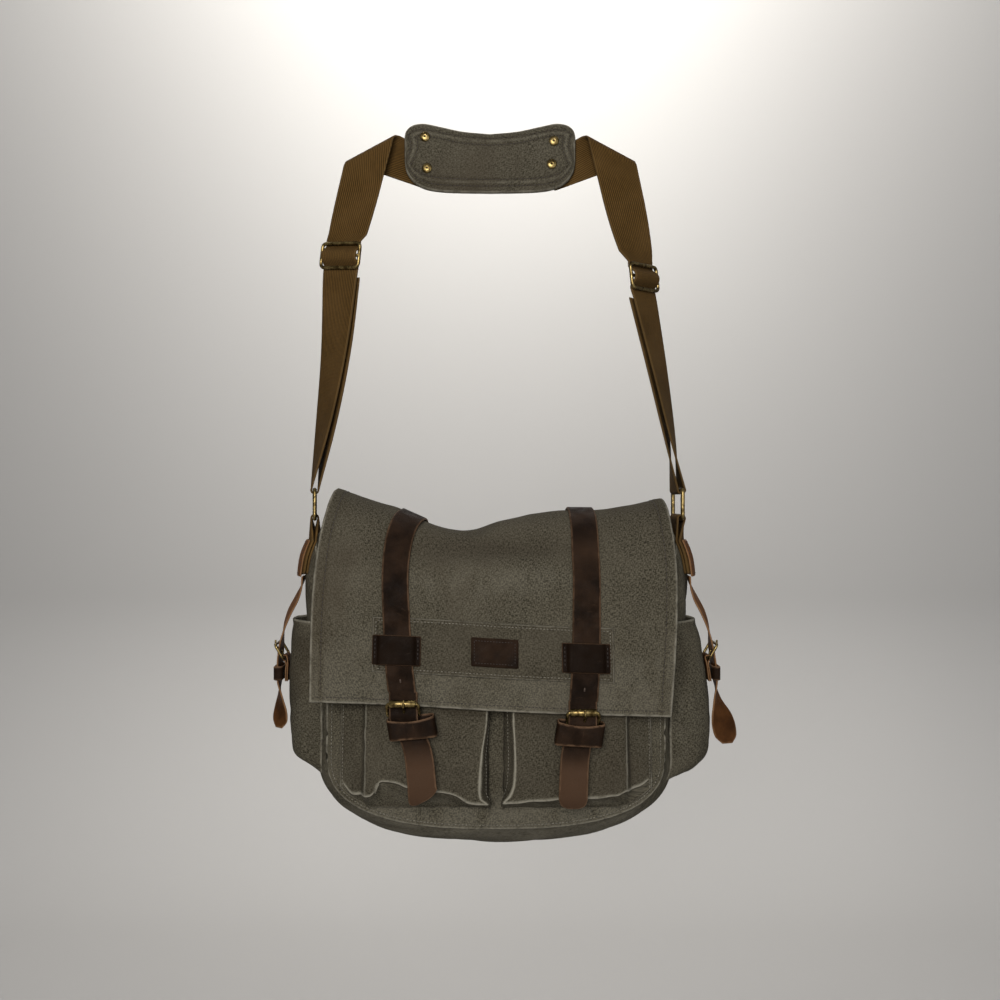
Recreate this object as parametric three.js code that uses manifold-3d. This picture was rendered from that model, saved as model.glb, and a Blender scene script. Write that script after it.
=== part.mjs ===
// A canvas and leather messenger bag, hanging by its shoulder strap.
// Millimetres. X runs to the right, the front faces -Y and Z is up. The origin is the top of the strap.
import * as THREE from "three";
import { mergeVertices } from "three/addons/utils/BufferGeometryUtils.js";
import Module from "manifold-3d";

const wasm = await Module();
wasm.setup();

// Driving dimensions
const GAP = 0.4; // air between pieces that touch
const SEAM_GAP = 1.2; // air between curved walls that are sewn together
const CANVAS = 2.0; // thickness of a canvas wall, seams turned in
const LEATHER = 2.2;
const THIN_LEATHER = 1.6;
const SMALL_LEATHER = 1.2; // the side buckles' tabs
const WEBBING = 1.8;
const WEBBING_WIDTH = 38;
const BODY_HALF_WIDTH = 151; // to the seam between panel and gusset
const BODY_TOP = -420; // top edge of the front panel, under the flap
const SEAM_CORNER = -580; // where the sides turn into the base
const BASE_DEPTH = 65; // the lower outline bows this far below the corners
const BASE_POWER = 2.6; // squareness of the lower outline
const BACK = 48; // outer face of the back panel
const WELT = 2.6; // the panels stand this far past the gusset at the seams
const STRAP_WIDTH = 23;
const WIRE = 1.6; // radius of the front buckles' wire
const ROLLER = 3.3;
const RING_WIRE = 2.0;
const RING_X = 174;
const RING_TOP = -342;
const RING_BOTTOM = -369;
const RING_HALF_LENGTH = 23.5;
const RING_Y = 8;
const RING_TURN = { left: 78.4, right: 90 }; // degrees from facing forward

// Colours, roughness and metalness of the materials
const FINISHES = {
  canvas: { color: 0x6b645a, roughness: 0.95, metalness: 0 },
  leather: { color: 0x3a2620, roughness: 0.6, metalness: 0 },
  tan_leather: { color: 0x6f4326, roughness: 0.6, metalness: 0 },
  webbing: { color: 0x5c4a2c, roughness: 0.9, metalness: 0 },
  brass: { color: 0x8a7444, roughness: 0.35, metalness: 1 },
};

const bag = new THREE.Group();

// A point
function at(x, y, z) {
  return new THREE.Vector3(x, y, z);
}

function mix(a, b, share) {
  return a + (b - a) * share;
}

// Evenly spaced numbers from first to last
function spread(first, last, count) {
  return Array.from({ length: count }, (_, i) => mix(first, last, i / (count - 1)));
}

// Smooth value of one column of a table at a place along another, which rises from row to row.
function smooth(table, along, column, place) {
  const last = table.length - 1;
  const held = Math.min(Math.max(place, table[0][along]), table[last][along]);
  let i = table.findIndex((row) => row[along] >= held) - 1;
  i = Math.min(Math.max(i, 0), last - 1);
  const slope = (k) => {
    const before = Math.max(k - 1, 0);
    const after = Math.min(k + 1, last);
    return (table[after][column] - table[before][column]) / (table[after][along] - table[before][along]);
  };
  const span = table[i + 1][along] - table[i][along];
  const t = (held - table[i][along]) / span;
  const start = table[i][column];
  const end = table[i + 1][column];
  const ease = t * t * (3 - 2 * t);
  const bend = slope(i) * (t ** 3 - 2 * t ** 2 + t) + slope(i + 1) * (t ** 3 - t ** 2);
  return mix(start, end, ease) + span * bend;
}

// Adds one named piece to the bag.
function piece(name, finish, geometry) {
  const mesh = new THREE.Mesh(geometry, new THREE.MeshStandardMaterial(FINISHES[finish]));
  mesh.name = name;
  bag.add(mesh);
  return mesh;
}

// Directions square to a grid of points, rows running down and columns running right as seen from outside.
function normals(rows, loop) {
  const last = rows.length - 1;
  const wrap = (i) => (loop ? (i + rows.length) % rows.length : Math.min(Math.max(i, 0), last));
  return rows.map((row, i) =>
    row.map((_, j) => {
      const down = at(0, 0, 0).subVectors(rows[wrap(i + 1)][j], rows[wrap(i - 1)][j]);
      const right = row[Math.min(j + 1, row.length - 1)].clone().sub(row[Math.max(j - 1, 0)]);
      return down.cross(right).normalize();
    }),
  );
}

// A wall of cloth or leather: a grid of points, thickened inwards and outwards along its normals.
function wall(rows, inward, outward, loop = false) {
  const across = rows[0].length;
  const count = rows.length * across;
  const square = normals(rows, loop);
  const points = [];
  for (const thickness of [outward, -inward]) {
    rows.forEach((row, i) => {
      row.forEach((p, j) => points.push(p.clone().addScaledVector(square[i][j], thickness)));
    });
  }
  const outer = (i, j) => (i % rows.length) * across + j;
  const inner = (i, j) => outer(i, j) + count;
  const faces = [];
  const quad = (a, b, c, d) => faces.push(a, b, c, a, c, d);
  const strips = loop ? rows.length : rows.length - 1;
  for (let i = 0; i < strips; i++) {
    for (let j = 0; j < across - 1; j++) {
      quad(outer(i, j), outer(i + 1, j), outer(i + 1, j + 1), outer(i, j + 1));
      quad(inner(i, j), inner(i, j + 1), inner(i + 1, j + 1), inner(i + 1, j));
    }
    quad(outer(i, 0), inner(i, 0), inner(i + 1, 0), outer(i + 1, 0));
    quad(outer(i + 1, across - 1), inner(i + 1, across - 1), inner(i, across - 1), outer(i, across - 1));
  }
  for (let j = 0; j < across - 1 && !loop; j++) {
    const end = rows.length - 1;
    quad(outer(0, j + 1), inner(0, j + 1), inner(0, j), outer(0, j));
    quad(outer(end, j), inner(end, j), inner(end, j + 1), outer(end, j + 1));
  }
  const geometry = new THREE.BufferGeometry().setFromPoints(points);
  geometry.setIndex(faces);
  return geometry;
}

// A strap: stations along it, each with a centre, a direction across and a half width.
function strap(stations, inward, outward, loop = false) {
  const rows = stations.map(({ centre, across, half }) =>
    [-half, 0, half].map((offset) => centre.clone().addScaledVector(across, offset)),
  );
  return wall(rows, inward, outward, loop);
}

// A closed loop of round wire through points in one plane.
function wireLoop(points, radius, sides, facing) {
  const count = points.length;
  const vertices = [];
  points.forEach((p, i) => {
    const along = points[(i + 1) % count].clone().sub(points[(i + count - 1) % count]).normalize();
    const out = along.clone().cross(facing).normalize();
    for (let k = 0; k < sides; k++) {
      const angle = (2 * Math.PI * k) / sides;
      const spoke = out.clone().multiplyScalar(Math.cos(angle)).addScaledVector(facing, Math.sin(angle));
      vertices.push(p.clone().addScaledVector(spoke, radius));
    }
  });
  const id = (i, k) => (i % count) * sides + (k % sides);
  const faces = [];
  for (let i = 0; i < count; i++) {
    for (let k = 0; k < sides; k++) {
      faces.push(id(i, k), id(i + 1, k), id(i, k + 1), id(i + 1, k), id(i + 1, k + 1), id(i, k + 1));
    }
  }
  const geometry = new THREE.BufferGeometry().setFromPoints(vertices);
  geometry.setIndex(faces);
  return geometry;
}

// Corner points of a rounded rectangle, as pairs, going round it.
function roundedRectangle(halfWidth, halfHeight, corner, steps) {
  const pairs = [];
  const turns = [[1, 1], [-1, 1], [-1, -1], [1, -1]];
  turns.forEach(([right, up], quarter) => {
    for (let k = 0; k <= steps; k++) {
      const angle = (Math.PI / 2) * (quarter + k / steps);
      const x = right * (halfWidth - corner) + corner * Math.cos(angle);
      const z = up * (halfHeight - corner) + corner * Math.sin(angle);
      pairs.push([x, z]);
    }
  });
  return pairs;
}

// The solid that a geometry bounds, for cutting.
function solid(geometry) {
  const bare = new THREE.BufferGeometry().setAttribute("position", geometry.getAttribute("position"));
  bare.setIndex(geometry.index);
  const merged = mergeVertices(bare, 1e-3);
  const vertProperties = new Float32Array(merged.getAttribute("position").array);
  const triVerts = new Uint32Array(merged.index.array);
  return new wasm.Manifold(new wasm.Mesh({ numProp: 3, vertProperties, triVerts }));
}

// A geometry with others cut away from it.
function cut(geometry, ...tools) {
  const left = tools.reduce((whole, tool) => whole.subtract(solid(tool)), solid(geometry));
  const mesh = left.getMesh();
  const result = new THREE.BufferGeometry();
  result.setAttribute("position", new THREE.BufferAttribute(mesh.vertProperties, 3));
  result.setIndex(new THREE.BufferAttribute(mesh.triVerts, 1));
  return result;
}

// The flap and the body's main shapes

// Height of the bag's top line, which sags between the ends.
const CREST = [
  { x: -158, z: -339 },
  { x: -105, z: -356 },
  { x: -60, z: -375 },
  { x: -28, z: -381 },
  { x: 5, z: -372 },
  { x: 60, z: -362 },
  { x: 105, z: -361 },
  { x: 160, z: -350 },
];

function crest(x) {
  return smooth(CREST, "x", "z", x);
}

// Height of the flap's lower edge, which hangs lower to the right.
const HEM = [
  { x: -165, z: -527.2 },
  { x: -100, z: -529.4 },
  { x: -50, z: -532 },
  { x: 0, z: -535 },
  { x: 65, z: -538 },
  { x: 165, z: -540.5 },
];

function hem(x) {
  return smooth(HEM, "x", "z", x);
}

// Side profile of the flap from its sewn edge at the back, over the top and down to the hem.
const FLAP = [
  { v: 0, y: 50.9, drop: 58, share: 0, half: 150, middle: 2 },
  { v: 0.1, y: 51, drop: 34, share: 0, half: 151, middle: 2 },
  { v: 0.2, y: 46, drop: 12, share: 0, half: 153, middle: 2.5 },
  { v: 0.28, y: 30, drop: 2.5, share: 0, half: 154.5, middle: 3 },
  { v: 0.36, y: 8, drop: 0, share: 0, half: 155, middle: 3 },
  { v: 0.45, y: -16, drop: 0, share: 0.035, half: 155.5, middle: 2.9 },
  { v: 0.53, y: -31, drop: 0, share: 0.12, half: 157.5, middle: 2.2 },
  { v: 0.63, y: -45, drop: 0, share: 0.28, half: 160.5, middle: 1 },
  { v: 0.76, y: -58, drop: 0, share: 0.52, half: 161.2, middle: -1 },
  { v: 0.88, y: -66, drop: 0, share: 0.76, half: 159.5, middle: -2.8 },
  { v: 1, y: -70, drop: 0, share: 1, half: 157.4, middle: -4.7 },
];
const FLAP_CREST = 0.36;

// Dents (in is positive) and bulges pressed into the front of the flap.
const DENTS = [
  { x: 5, z: -398, wide: 70, tall: 10, depth: 7 },
  { x: -5, z: -422, wide: 90, tall: 16, depth: -5 },
];

function dent(x, z) {
  return DENTS.reduce((sum, d) => {
    const away = ((x - d.x) / d.wide) ** 2 + ((z - d.z) / d.tall) ** 2;
    return sum + d.depth * Math.exp(-away);
  }, 0);
}

// Outer surface of the flap at a distance x across and a share v along its profile.
function flapPoint(x, v) {
  const drop = smooth(FLAP, "v", "drop", v);
  const share = smooth(FLAP, "v", "share", v);
  const top = crest(x);
  const z = top - drop - share * (top - hem(x));
  const front = v > FLAP_CREST ? dent(x, z) : 0;
  return at(x, smooth(FLAP, "v", "y", v) + front, z);
}

// The flap's outer surface, lifted off it along its normal.
function onFlap(x, v, lift) {
  const step = 0.004;
  const low = Math.min(v + step, 1);
  const down = flapPoint(x, low).sub(flapPoint(x, low - 2 * step));
  const right = flapPoint(x + 1, v).sub(flapPoint(x - 1, v));
  return flapPoint(x, v).addScaledVector(down.cross(right).normalize(), lift);
}

// Share along the profile where the front of the flap reaches a height.
function flapShare(x, z) {
  let low = FLAP_CREST;
  let high = 1;
  for (let i = 0; i < 30; i++) {
    const middle = (low + high) / 2;
    if (flapPoint(x, middle).z > z) low = middle;
    else high = middle;
  }
  return low;
}

function makeFlap() {
  const behind = [0, 0.06, 0.12, 0.17, 0.22, 0.28];
  const before = [0.36, 0.42, 0.47, 0.52, 0.57, 0.62, 0.68, 0.76, 0.84, 0.92, 1];
  const shares = [...behind, ...before];
  const rows = shares.map((v) => {
    const half = smooth(FLAP, "v", "half", v);
    const middle = smooth(FLAP, "v", "middle", v);
    return spread(middle - half, middle + half, 19).map((x) => flapPoint(x, v));
  });
  piece("flap", "canvas", wall(rows, CANVAS, 0));
}

// Lower outline of the panels: the height of the seam below a place across.
function seamBottom(x) {
  const inside = Math.max(1 - Math.abs(x / BODY_HALF_WIDTH) ** BASE_POWER, 0);
  return SEAM_CORNER - BASE_DEPTH * inside ** (1 / BASE_POWER);
}

// Places across a panel, closer together at the sides.
function panelColumns(half, count) {
  return spread(-Math.PI / 2, Math.PI / 2, count).map((angle) => half * Math.sin(angle));
}

// Outer face of the front panel, which leans forward and bellies out.
function frontFace(x, z) {
  const t = (BODY_TOP - z) / (BODY_TOP - SEAM_CORNER + BASE_DEPTH);
  const belly = 4 * (1 - (x / BODY_HALF_WIDTH) ** 2) * Math.sin(Math.PI * t);
  return -32 - 26 * t + 7 * t * t - belly;
}

function makePanels() {
  const columns = panelColumns(BODY_HALF_WIDTH, 17);
  const front = spread(0, 1, 7).map((t) =>
    columns.map((x) => {
      const z = mix(BODY_TOP, seamBottom(x), t);
      return at(x, frontFace(x, z), z);
    }),
  );
  piece("front_panel", "canvas", wall(front, CANVAS, 0));
  const underFlap = 32; // the panel ends this far below the crest, inside the flap
  const back = spread(0, 1, 2).map((t) =>
    columns.map((x) => at(-x, BACK, mix(crest(-x) - underFlap, seamBottom(x), t))),
  );
  piece("back_panel", "canvas", wall(back, CANVAS, 0));
}

// How far the gusset bows out between its seams, by depth below its top edge.
const GUSSET = [
  { drop: 0, bow: 6 },
  { drop: 18, bow: 21 },
  { drop: 42, bow: 31 },
  { drop: 80, bow: 32 },
  { drop: 140, bow: 25 },
  { drop: 215, bow: 16 },
  { drop: 300, bow: 28 },
];
const GUSSET_TOP = -366;
const GUSSET_EDGES = { back: -374, middle: -366, front: -424 };
const GUSSET_EASE = -440; // below this the gusset's rows run level

function gussetBow(z) {
  return smooth(GUSSET, "drop", "bow", GUSSET_TOP - z);
}

// Half width of the body's outline at a height.
function sideOutline(z) {
  const below = Math.min(Math.max((SEAM_CORNER - z) / BASE_DEPTH, 0), 1);
  return BODY_HALF_WIDTH * (1 - below ** BASE_POWER) ** (1 / BASE_POWER);
}

// Outer face of the gusset's side: distance from the middle of the bag at a depth y and height z.
function gussetSide(y, z) {
  const front = frontFace(BODY_HALF_WIDTH, z) + CANVAS + GAP;
  const q = Math.min(Math.max((y - front) / (BACK - CANVAS - GAP - front), 0), 1);
  return sideOutline(z) - WELT + gussetBow(z) * Math.sin(Math.PI * q) ** 0.8;
}

// The gusset runs down one side, under the base and up the other side.
function makeGusset() {
  const inset = BODY_HALF_WIDTH - WELT;
  const across = [1, 0.93, 0.82, 0.66, 0.5, 0.34, 0.18, 0.07, 0];
  const topOf = (q) =>
    q > 0.5
      ? mix(GUSSET_EDGES.middle, GUSSET_EDGES.back, (q - 0.5) * 2)
      : mix(GUSSET_EDGES.front, GUSSET_EDGES.middle, q * 2);
  const edgeBack = BACK - CANVAS - GAP;
  const ring = (x, z, outX, outZ, bow, lift) =>
    across.map((q) => {
      const height = z + (lift === null ? 0 : mix(topOf(q), GUSSET_EASE, lift) - z);
      const bulge = bow(height) * Math.sin(Math.PI * q) ** 0.8;
      const front = frontFace(x, height) + CANVAS + GAP;
      return at(x + outX * bulge, mix(front, edgeBack, q), height + outZ * bulge);
    });
  const side = (sign) => {
    const upper = spread(0, 1, 5).map((lift) => ring(sign * inset, GUSSET_EASE, sign, 0, gussetBow, lift));
    const lower = spread(GUSSET_EASE, SEAM_CORNER, 6).slice(1);
    return upper.concat(lower.map((z) => ring(sign * inset, z, sign, 0, gussetBow, null)));
  };
  const base = spread(-Math.PI / 2, Math.PI / 2, 21).slice(1, -1).map((angle) => {
    const x = inset * Math.sin(angle);
    const z = seamBottom((x / inset) * BODY_HALF_WIDTH) + WELT;
    const rise = 3;
    const slope = (seamBottom(x + rise) - seamBottom(x - rise)) / (2 * rise);
    const out = at(slope, 0, -1).normalize();
    const cornerBow = gussetBow(SEAM_CORNER);
    const baseBow = GUSSET[GUSSET.length - 1].bow;
    const bow = () => mix(cornerBow, baseBow, Math.cos(angle) ** 0.7);
    return ring(x, z, out.x, out.z, bow, null);
  });
  const rows = [...side(-1), ...base, ...side(1).reverse()];
  piece("gusset", "canvas", wall(rows, CANVAS, 0));
}

// A strip of canvas sewn across the flap.
const BAND = { left: -108, right: 103, low: 28, high: 74, thick: 1.4 };

function makeFlapBand() {
  const rows = spread(BAND.high, BAND.low, 5).map((height) =>
    spread(BAND.left, BAND.right, 19).map((x) => onFlap(x, flapShare(x, hem(x) + height), GAP)),
  );
  piece("flap_band", "canvas", wall(rows, 0, BAND.thick));
}

makeFlap();
makePanels();
makeGusset();
makeFlapBand();

// Pockets

// Section across a front pocket, from its outer seam to the seam by the middle of the bag.
const POCKET_ACROSS = [
  { x: 139, out: 0 },
  { x: 128, out: 0.16 },
  { x: 119, out: 0.34 },
  { x: 113, out: 0.92 },
  { x: 100, out: 1 },
  { x: 64, out: 1.06 },
  { x: 30, out: 1 },
  { x: 16, out: 0.95 },
  { x: 10, out: 0.55 },
  { x: 6.5, out: 0 },
];
// Section down a front pocket: its open rim, the fold along the lower edge of its face, and its foot.
const POCKET_DOWN = [
  { down: 0, out: 10 },
  { down: 0.25, out: 12 },
  { down: 0.5, out: 14.5 },
  { down: 0.78, out: 17 },
  { down: 0.93, out: 18.5 },
  { down: 1, out: 17.5 },
  { down: 1.45, out: 9 },
  { down: 2, out: 0 },
];
// Height of the fold across each pocket, which hangs lower towards the middle of the bag.
const POCKET_FOLD = {
  left: [
    { x: 7, z: -617 },
    { x: 40, z: -608 },
    { x: 80, z: -601 },
    { x: 100, z: -599 },
    { x: 110, z: -608 },
    { x: 126, z: -611 },
    { x: 139, z: -600 },
  ],
  right: [
    { x: 7, z: -616 },
    { x: 40, z: -614 },
    { x: 80, z: -611 },
    { x: 118, z: -607 },
    { x: 139, z: -598 },
  ],
};
const POCKET_RIM = -455;
const POCKET_FOOT = -625;
const FOOT_MARGIN = 7; // the pocket's foot stays this far inside the panel's outline

// Places between the rows of a table, to round its corners.
function between(table, key) {
  return table.flatMap((row, i) => (i ? [(table[i - 1][key] + row[key]) / 2, row[key]] : [row[key]]));
}

// Height of the lower edge of a front pocket's face.
function pocketFold(x) {
  return smooth(POCKET_FOLD[x < 0 ? "left" : "right"], "x", "z", Math.abs(x));
}

// Height of a front pocket's foot, which rises towards the rounded corner of the panel.
function pocketFoot(x) {
  return Math.min(Math.max(POCKET_FOOT, seamBottom(x) + FOOT_MARGIN), pocketFold(x) - 3);
}

// Outer face of the front pockets.
function pocketFace(x, z) {
  const across = smooth(POCKET_ACROSS.toReversed(), "x", "out", Math.abs(x));
  const fold = pocketFold(x);
  const down = z > fold ? (POCKET_RIM - z) / (POCKET_RIM - fold) : 1 + (fold - z) / (fold - pocketFoot(x));
  return frontFace(x, z) - CANVAS - GAP - across * smooth(POCKET_DOWN, "down", "out", down);
}

function makeFrontPocket(name, sign) {
  const places = POCKET_ACROSS.map((row) => sign * row.x).sort((a, b) => a - b);
  const rows = POCKET_DOWN.map(({ down }) =>
    places.map((x) => {
      const fold = pocketFold(x);
      const z = down < 1 ? mix(POCKET_RIM, fold, down) : mix(fold, pocketFoot(x), down - 1);
      return at(x, pocketFace(x, z), z);
    }),
  );
  piece(name, "canvas", wall(rows, CANVAS, 0));
}

// Section across a side pocket, from its back seam to its front seam.
const SIDE_ACROSS = [
  { y: 38, out: 0 },
  { y: 34, out: 0.3 },
  { y: 27, out: 0.72 },
  { y: 14, out: 0.96 },
  { y: 0, out: 1 },
  { y: -13, out: 0.93 },
  { y: -23, out: 0.68 },
  { y: -29, out: 0.32 },
  { y: -33, out: 0 },
];
// Section down a side pocket, from its open rim to the seam at its foot.
const SIDE_DOWN = {
  left: [
    { z: -464, out: 11 },
    { z: -482, out: 14 },
    { z: -500, out: 16.7 },
    { z: -545, out: 24 },
    { z: -575, out: 26.6 },
    { z: -590, out: 22 },
    { z: -598, out: 9 },
    { z: -603, out: 0 },
  ],
  right: [
    { z: -464, out: 6.5 },
    { z: -482, out: 13 },
    { z: -500, out: 18 },
    { z: -545, out: 29.9 },
    { z: -576, out: 33 },
    { z: -594, out: 30 },
    { z: -603, out: 19 },
    { z: -609, out: 0 },
  ],
};

function sidePocketFace(side, y, z) {
  const across = smooth(SIDE_ACROSS.toReversed(), "y", "out", y);
  const down = smooth(SIDE_DOWN[side].toReversed(), "z", "out", z);
  return gussetSide(y, z) + CANVAS + 1.5 * SEAM_GAP + across * down;
}

function makeSidePocket(side, sign) {
  const depths = between(SIDE_ACROSS, "y");
  const ordered = sign < 0 ? depths : depths.toReversed();
  const face = (y, z) => at(sign * sidePocketFace(side, y, z), y, z);
  const rows = SIDE_DOWN[side].map(({ z }) => ordered.map((y) => face(y, z)));
  piece("side_pocket_" + side, "canvas", wall(rows, CANVAS, 0));
}

for (const [side, sign] of [["left", -1], ["right", 1]]) {
  makeFrontPocket("front_pocket_" + side, sign);
  makeSidePocket(side, sign);
}

// Leather on the front of the flap

const FLAP_LIFT = 0.9; // straps lie this far off the flap
const OVER_BAND = BAND.thick + 2 * GAP;

// Place across of each closure strap along the flap, the height of its buckle's roller, the place across of
// its tail, the length of the tail below the buckle's bar, and the lie of the tab's keeper on it.
const CLOSURES = {
  left: {
    roller: -527.5,
    route: [
      { v: 0, x: -79 },
      { v: 0.36, x: -80 },
      { v: 0.6, x: -90 },
      { v: 0.85, x: -86 },
      { v: 1, x: -80.5 },
    ],
    tail: [-75.5, -67.5, -64, -63],
    tip: 77,
    keeper: { aside: 8, drop: 8.7, halfHeight: 8, skew: -0.1 },
  },
  right: {
    roller: -535,
    route: [
      { v: 0, x: 80 },
      { v: 0.36, x: 80 },
      { v: 0.6, x: 81 },
      { v: 0.85, x: 79 },
      { v: 1, x: 75.5 },
    ],
    tail: [72, 68.5, 67, 66.5],
    tip: 69,
    keeper: { aside: -3, drop: 6.3, halfHeight: 9, skew: -0.06 },
  },
};
const FRAME_HALF = 13.6; // half width of the front buckles, to the middle of the wire
const BAR_DROP = 12; // the buckle's lower bar is this far below the roller
const PRONG_ASIDE = 1.2; // the prongs stand this far off the straps' middle
const KEEPER_LIFT = SEAM_GAP + THIN_LEATHER + GAP; // the tab lies on the back of its keeper
const TAB_LIFT = KEEPER_LIFT + 2 * THIN_LEATHER + GAP; // the front of the doubled tab, off the pocket
const TAIL_LIFT = TAB_LIFT + SEAM_GAP;

// Depth of the lower bar, which the tab loops round.
function barDepth(x, z) {
  return pocketFace(x, z) - KEEPER_LIFT - THIN_LEATHER - GAP - WIRE;
}

// Stations down a closure strap, on the face that rests on the flap and the buckle's tab.
function closureStations({ route, roller, tail, tip }) {
  const x1 = route[route.length - 1].x;
  const bar = roller - BAR_DROP;
  const half = STRAP_WIDTH / 2;
  const onTop = [0.03, 0.08, 0.12, 0.17, 0.22, 0.28, 0.36, 0.42, 0.47, 0.52, 0.57, 0.62, 0.68, 0.72];
  const nearBand = [84, 76, 64, 51, 38, 28, 12];
  const onFront = onTop.concat(nearBand.map((height) => flapShare(x1, hem(x1) + height)));
  const stations = onFront.map((v, i) => {
    const x = smooth(route, "v", "x", v);
    const lift = i < onTop.length + 1 ? FLAP_LIFT : OVER_BAND;
    const across = onFlap(x + half, v, lift).sub(onFlap(x - half, v, lift)).normalize();
    return { centre: onFlap(x, v, lift), across, half };
  });
  const overBar = barDepth(x1, bar) - WIRE - GAP - THIN_LEATHER - GAP;
  const level = at(1, 0, 0);
  const rest = (x, z) => pocketFace(x, Math.max(z, pocketFold(x) + 3)) - TAIL_LIFT; // hangs past the fold
  stations.push({ centre: at(x1, flapPoint(x1, 1).y - OVER_BAND, roller), across: level, half });
  stations.push({ centre: at(x1 + (tail[0] - x1) / 8, overBar, bar + 3), across: level, half });
  stations.push({ centre: at(x1 + (tail[0] - x1) / 4, overBar, bar - 3), across: level, half });
  const shares = [0.125, 0.375, 0.69, 0.875];
  shares.forEach((share, i) => {
    const z = bar - share * tip;
    stations.push({ centre: at(tail[i], rest(tail[i], z), z), across: level, half });
  });
  const x2 = tail[tail.length - 1];
  const end = at(x2, rest(x2, bar - tip), bar - tip);
  stations.push({ centre: end, across: level, half: half * 0.45 });
  return stations;
}

function box(width, depth, height, x, y, z) {
  return new THREE.BoxGeometry(width, depth, height).translate(x, y, z);
}

// The strap and its roller buckle: frame, roller, prong, the tab that holds it and the tab's keeper.
function makeClosure(side) {
  const closure = CLOSURES[side];
  const stations = closureStations(closure);
  const x = closure.route[closure.route.length - 1].x;
  const barZ = closure.roller - BAR_DROP;
  const bar = at(x, barDepth(x, barZ), barZ);
  const strapFront = flapPoint(x, 1).y - OVER_BAND - LEATHER;
  const roller = at(x, strapFront - GAP - ROLLER - 0.4, closure.roller);
  const slot = 4;
  const hole = box(slot, 30, 12, x + PRONG_ASIDE, bar.y - 4, barZ + 5);
  piece("closure_strap_" + side, "leather", cut(strap(stations, 0, LEATHER), hole));
  const up = roller.clone().sub(bar);
  const reach = up.length() / 2;
  up.normalize();
  const middle = bar.clone().add(roller).multiplyScalar(0.5);
  const facing = at(1, 0, 0).cross(up).negate();
  const frame = roundedRectangle(FRAME_HALF, reach, 3, 3).map(([a, b]) =>
    middle.clone().addScaledVector(at(1, 0, 0), a).addScaledVector(up, b),
  );
  piece("front_buckle_" + side, "brass", wireLoop(frame, WIRE, 6, facing));
  piece("front_roller_" + side, "brass", rollerTube(roller));
  piece("front_prong_" + side, "brass", prong(bar, roller, x + PRONG_ASIDE));
  makeBuckleTab(side, x, bar, slot);
  makeBuckleKeeper(side, closure, barZ);
}

// A tube that turns on the buckle's upper bar.
function rollerTube(centre) {
  const half = 11.5;
  const inside = WIRE + 0.4;
  const profile = [[inside, -half], [ROLLER, -half], [ROLLER, half], [inside, half], [inside, -half]];
  const lathe = new THREE.LatheGeometry(profile.map(([r, h]) => new THREE.Vector2(r, h)), 10);
  return lathe.rotateZ(-Math.PI / 2).translate(centre.x, centre.y, centre.z);
}

// Section of a prong.
function hexagon(radius) {
  const corners = spread(0, 2 * Math.PI, 7).slice(0, 6);
  return new THREE.Shape(corners.map((a) => new THREE.Vector2(radius * Math.cos(a), radius * Math.sin(a))));
}

// The prong stands on the lower bar, goes through the strap and rests on the roller.
function prong(bar, roller, x) {
  const radius = 1.1;
  const clear = 0.4 + radius;
  const path = new THREE.CatmullRomCurve3([
    at(x, bar.y - WIRE - clear, bar.z + 0.5),
    at(x, bar.y - WIRE - clear - 2.5, bar.z + 5),
    at(x, roller.y - ROLLER + 0.3, bar.z + 9),
    at(x, roller.y - ROLLER - clear, roller.z - 1),
    at(x, roller.y - ROLLER - clear, roller.z + 4),
  ]);
  return new THREE.ExtrudeGeometry(hexagon(radius), { steps: 8, extrudePath: path });
}

// A doubled strip of leather that loops over the lower bar, slit for the prong.
function makeBuckleTab(side, x, bar, slot) {
  const half = 8;
  const across = at(1, 0, 0);
  const inside = WIRE + GAP;
  const foot = bar.z - 15;
  const station = (y, z) => ({ centre: at(x, y, z), across, half });
  const rest = (z, lift) => pocketFace(x, z) - lift;
  const back = KEEPER_LIFT + THIN_LEATHER;
  const down = [foot, bar.z - 11, bar.z - 8];
  const turn = spread(0, Math.PI, 7).map((a) =>
    station(bar.y + inside * Math.cos(a), bar.z + inside * Math.sin(a)),
  );
  const stations = [
    ...down.map((z) => station(rest(z, back), z)),
    ...turn,
    ...down.toReversed().map((z) => station(rest(z, back + GAP), z)),
  ];
  const tab = strap(stations, 0, THIN_LEATHER);
  const opening = box(slot, 8, 10, x + PRONG_ASIDE, bar.y - inside - 1.5, bar.z + 1.5);
  piece("buckle_tab_" + side, "leather", cut(tab, opening));
}

// A loose loop of leather round the strap and the tab, skewed and flared.
const LOOP = { halfWidth: 19, depth: 6.1, flare: 1.5 };

function makeBuckleKeeper(side, { keeper, route }, barZ) {
  const centre = route[route.length - 1].x + keeper.aside;
  const lean = Math.sign(keeper.aside);
  const rows = roundedRectangle(LOOP.halfWidth, LOOP.depth, 2.2, 3).map(([a, b]) =>
    [-1, 0, 1].map((up) => {
      const x = centre + a - up * lean * LOOP.flare;
      const height = barZ - keeper.drop + up * keeper.halfHeight - a * lean * keeper.skew;
      return at(x, pocketFace(x, height) - SEAM_GAP - THIN_LEATHER - LOOP.depth + b, height);
    }),
  );
  piece("buckle_keeper_" + side, "leather", wall(rows, 0, THIN_LEATHER, true));
}

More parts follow.
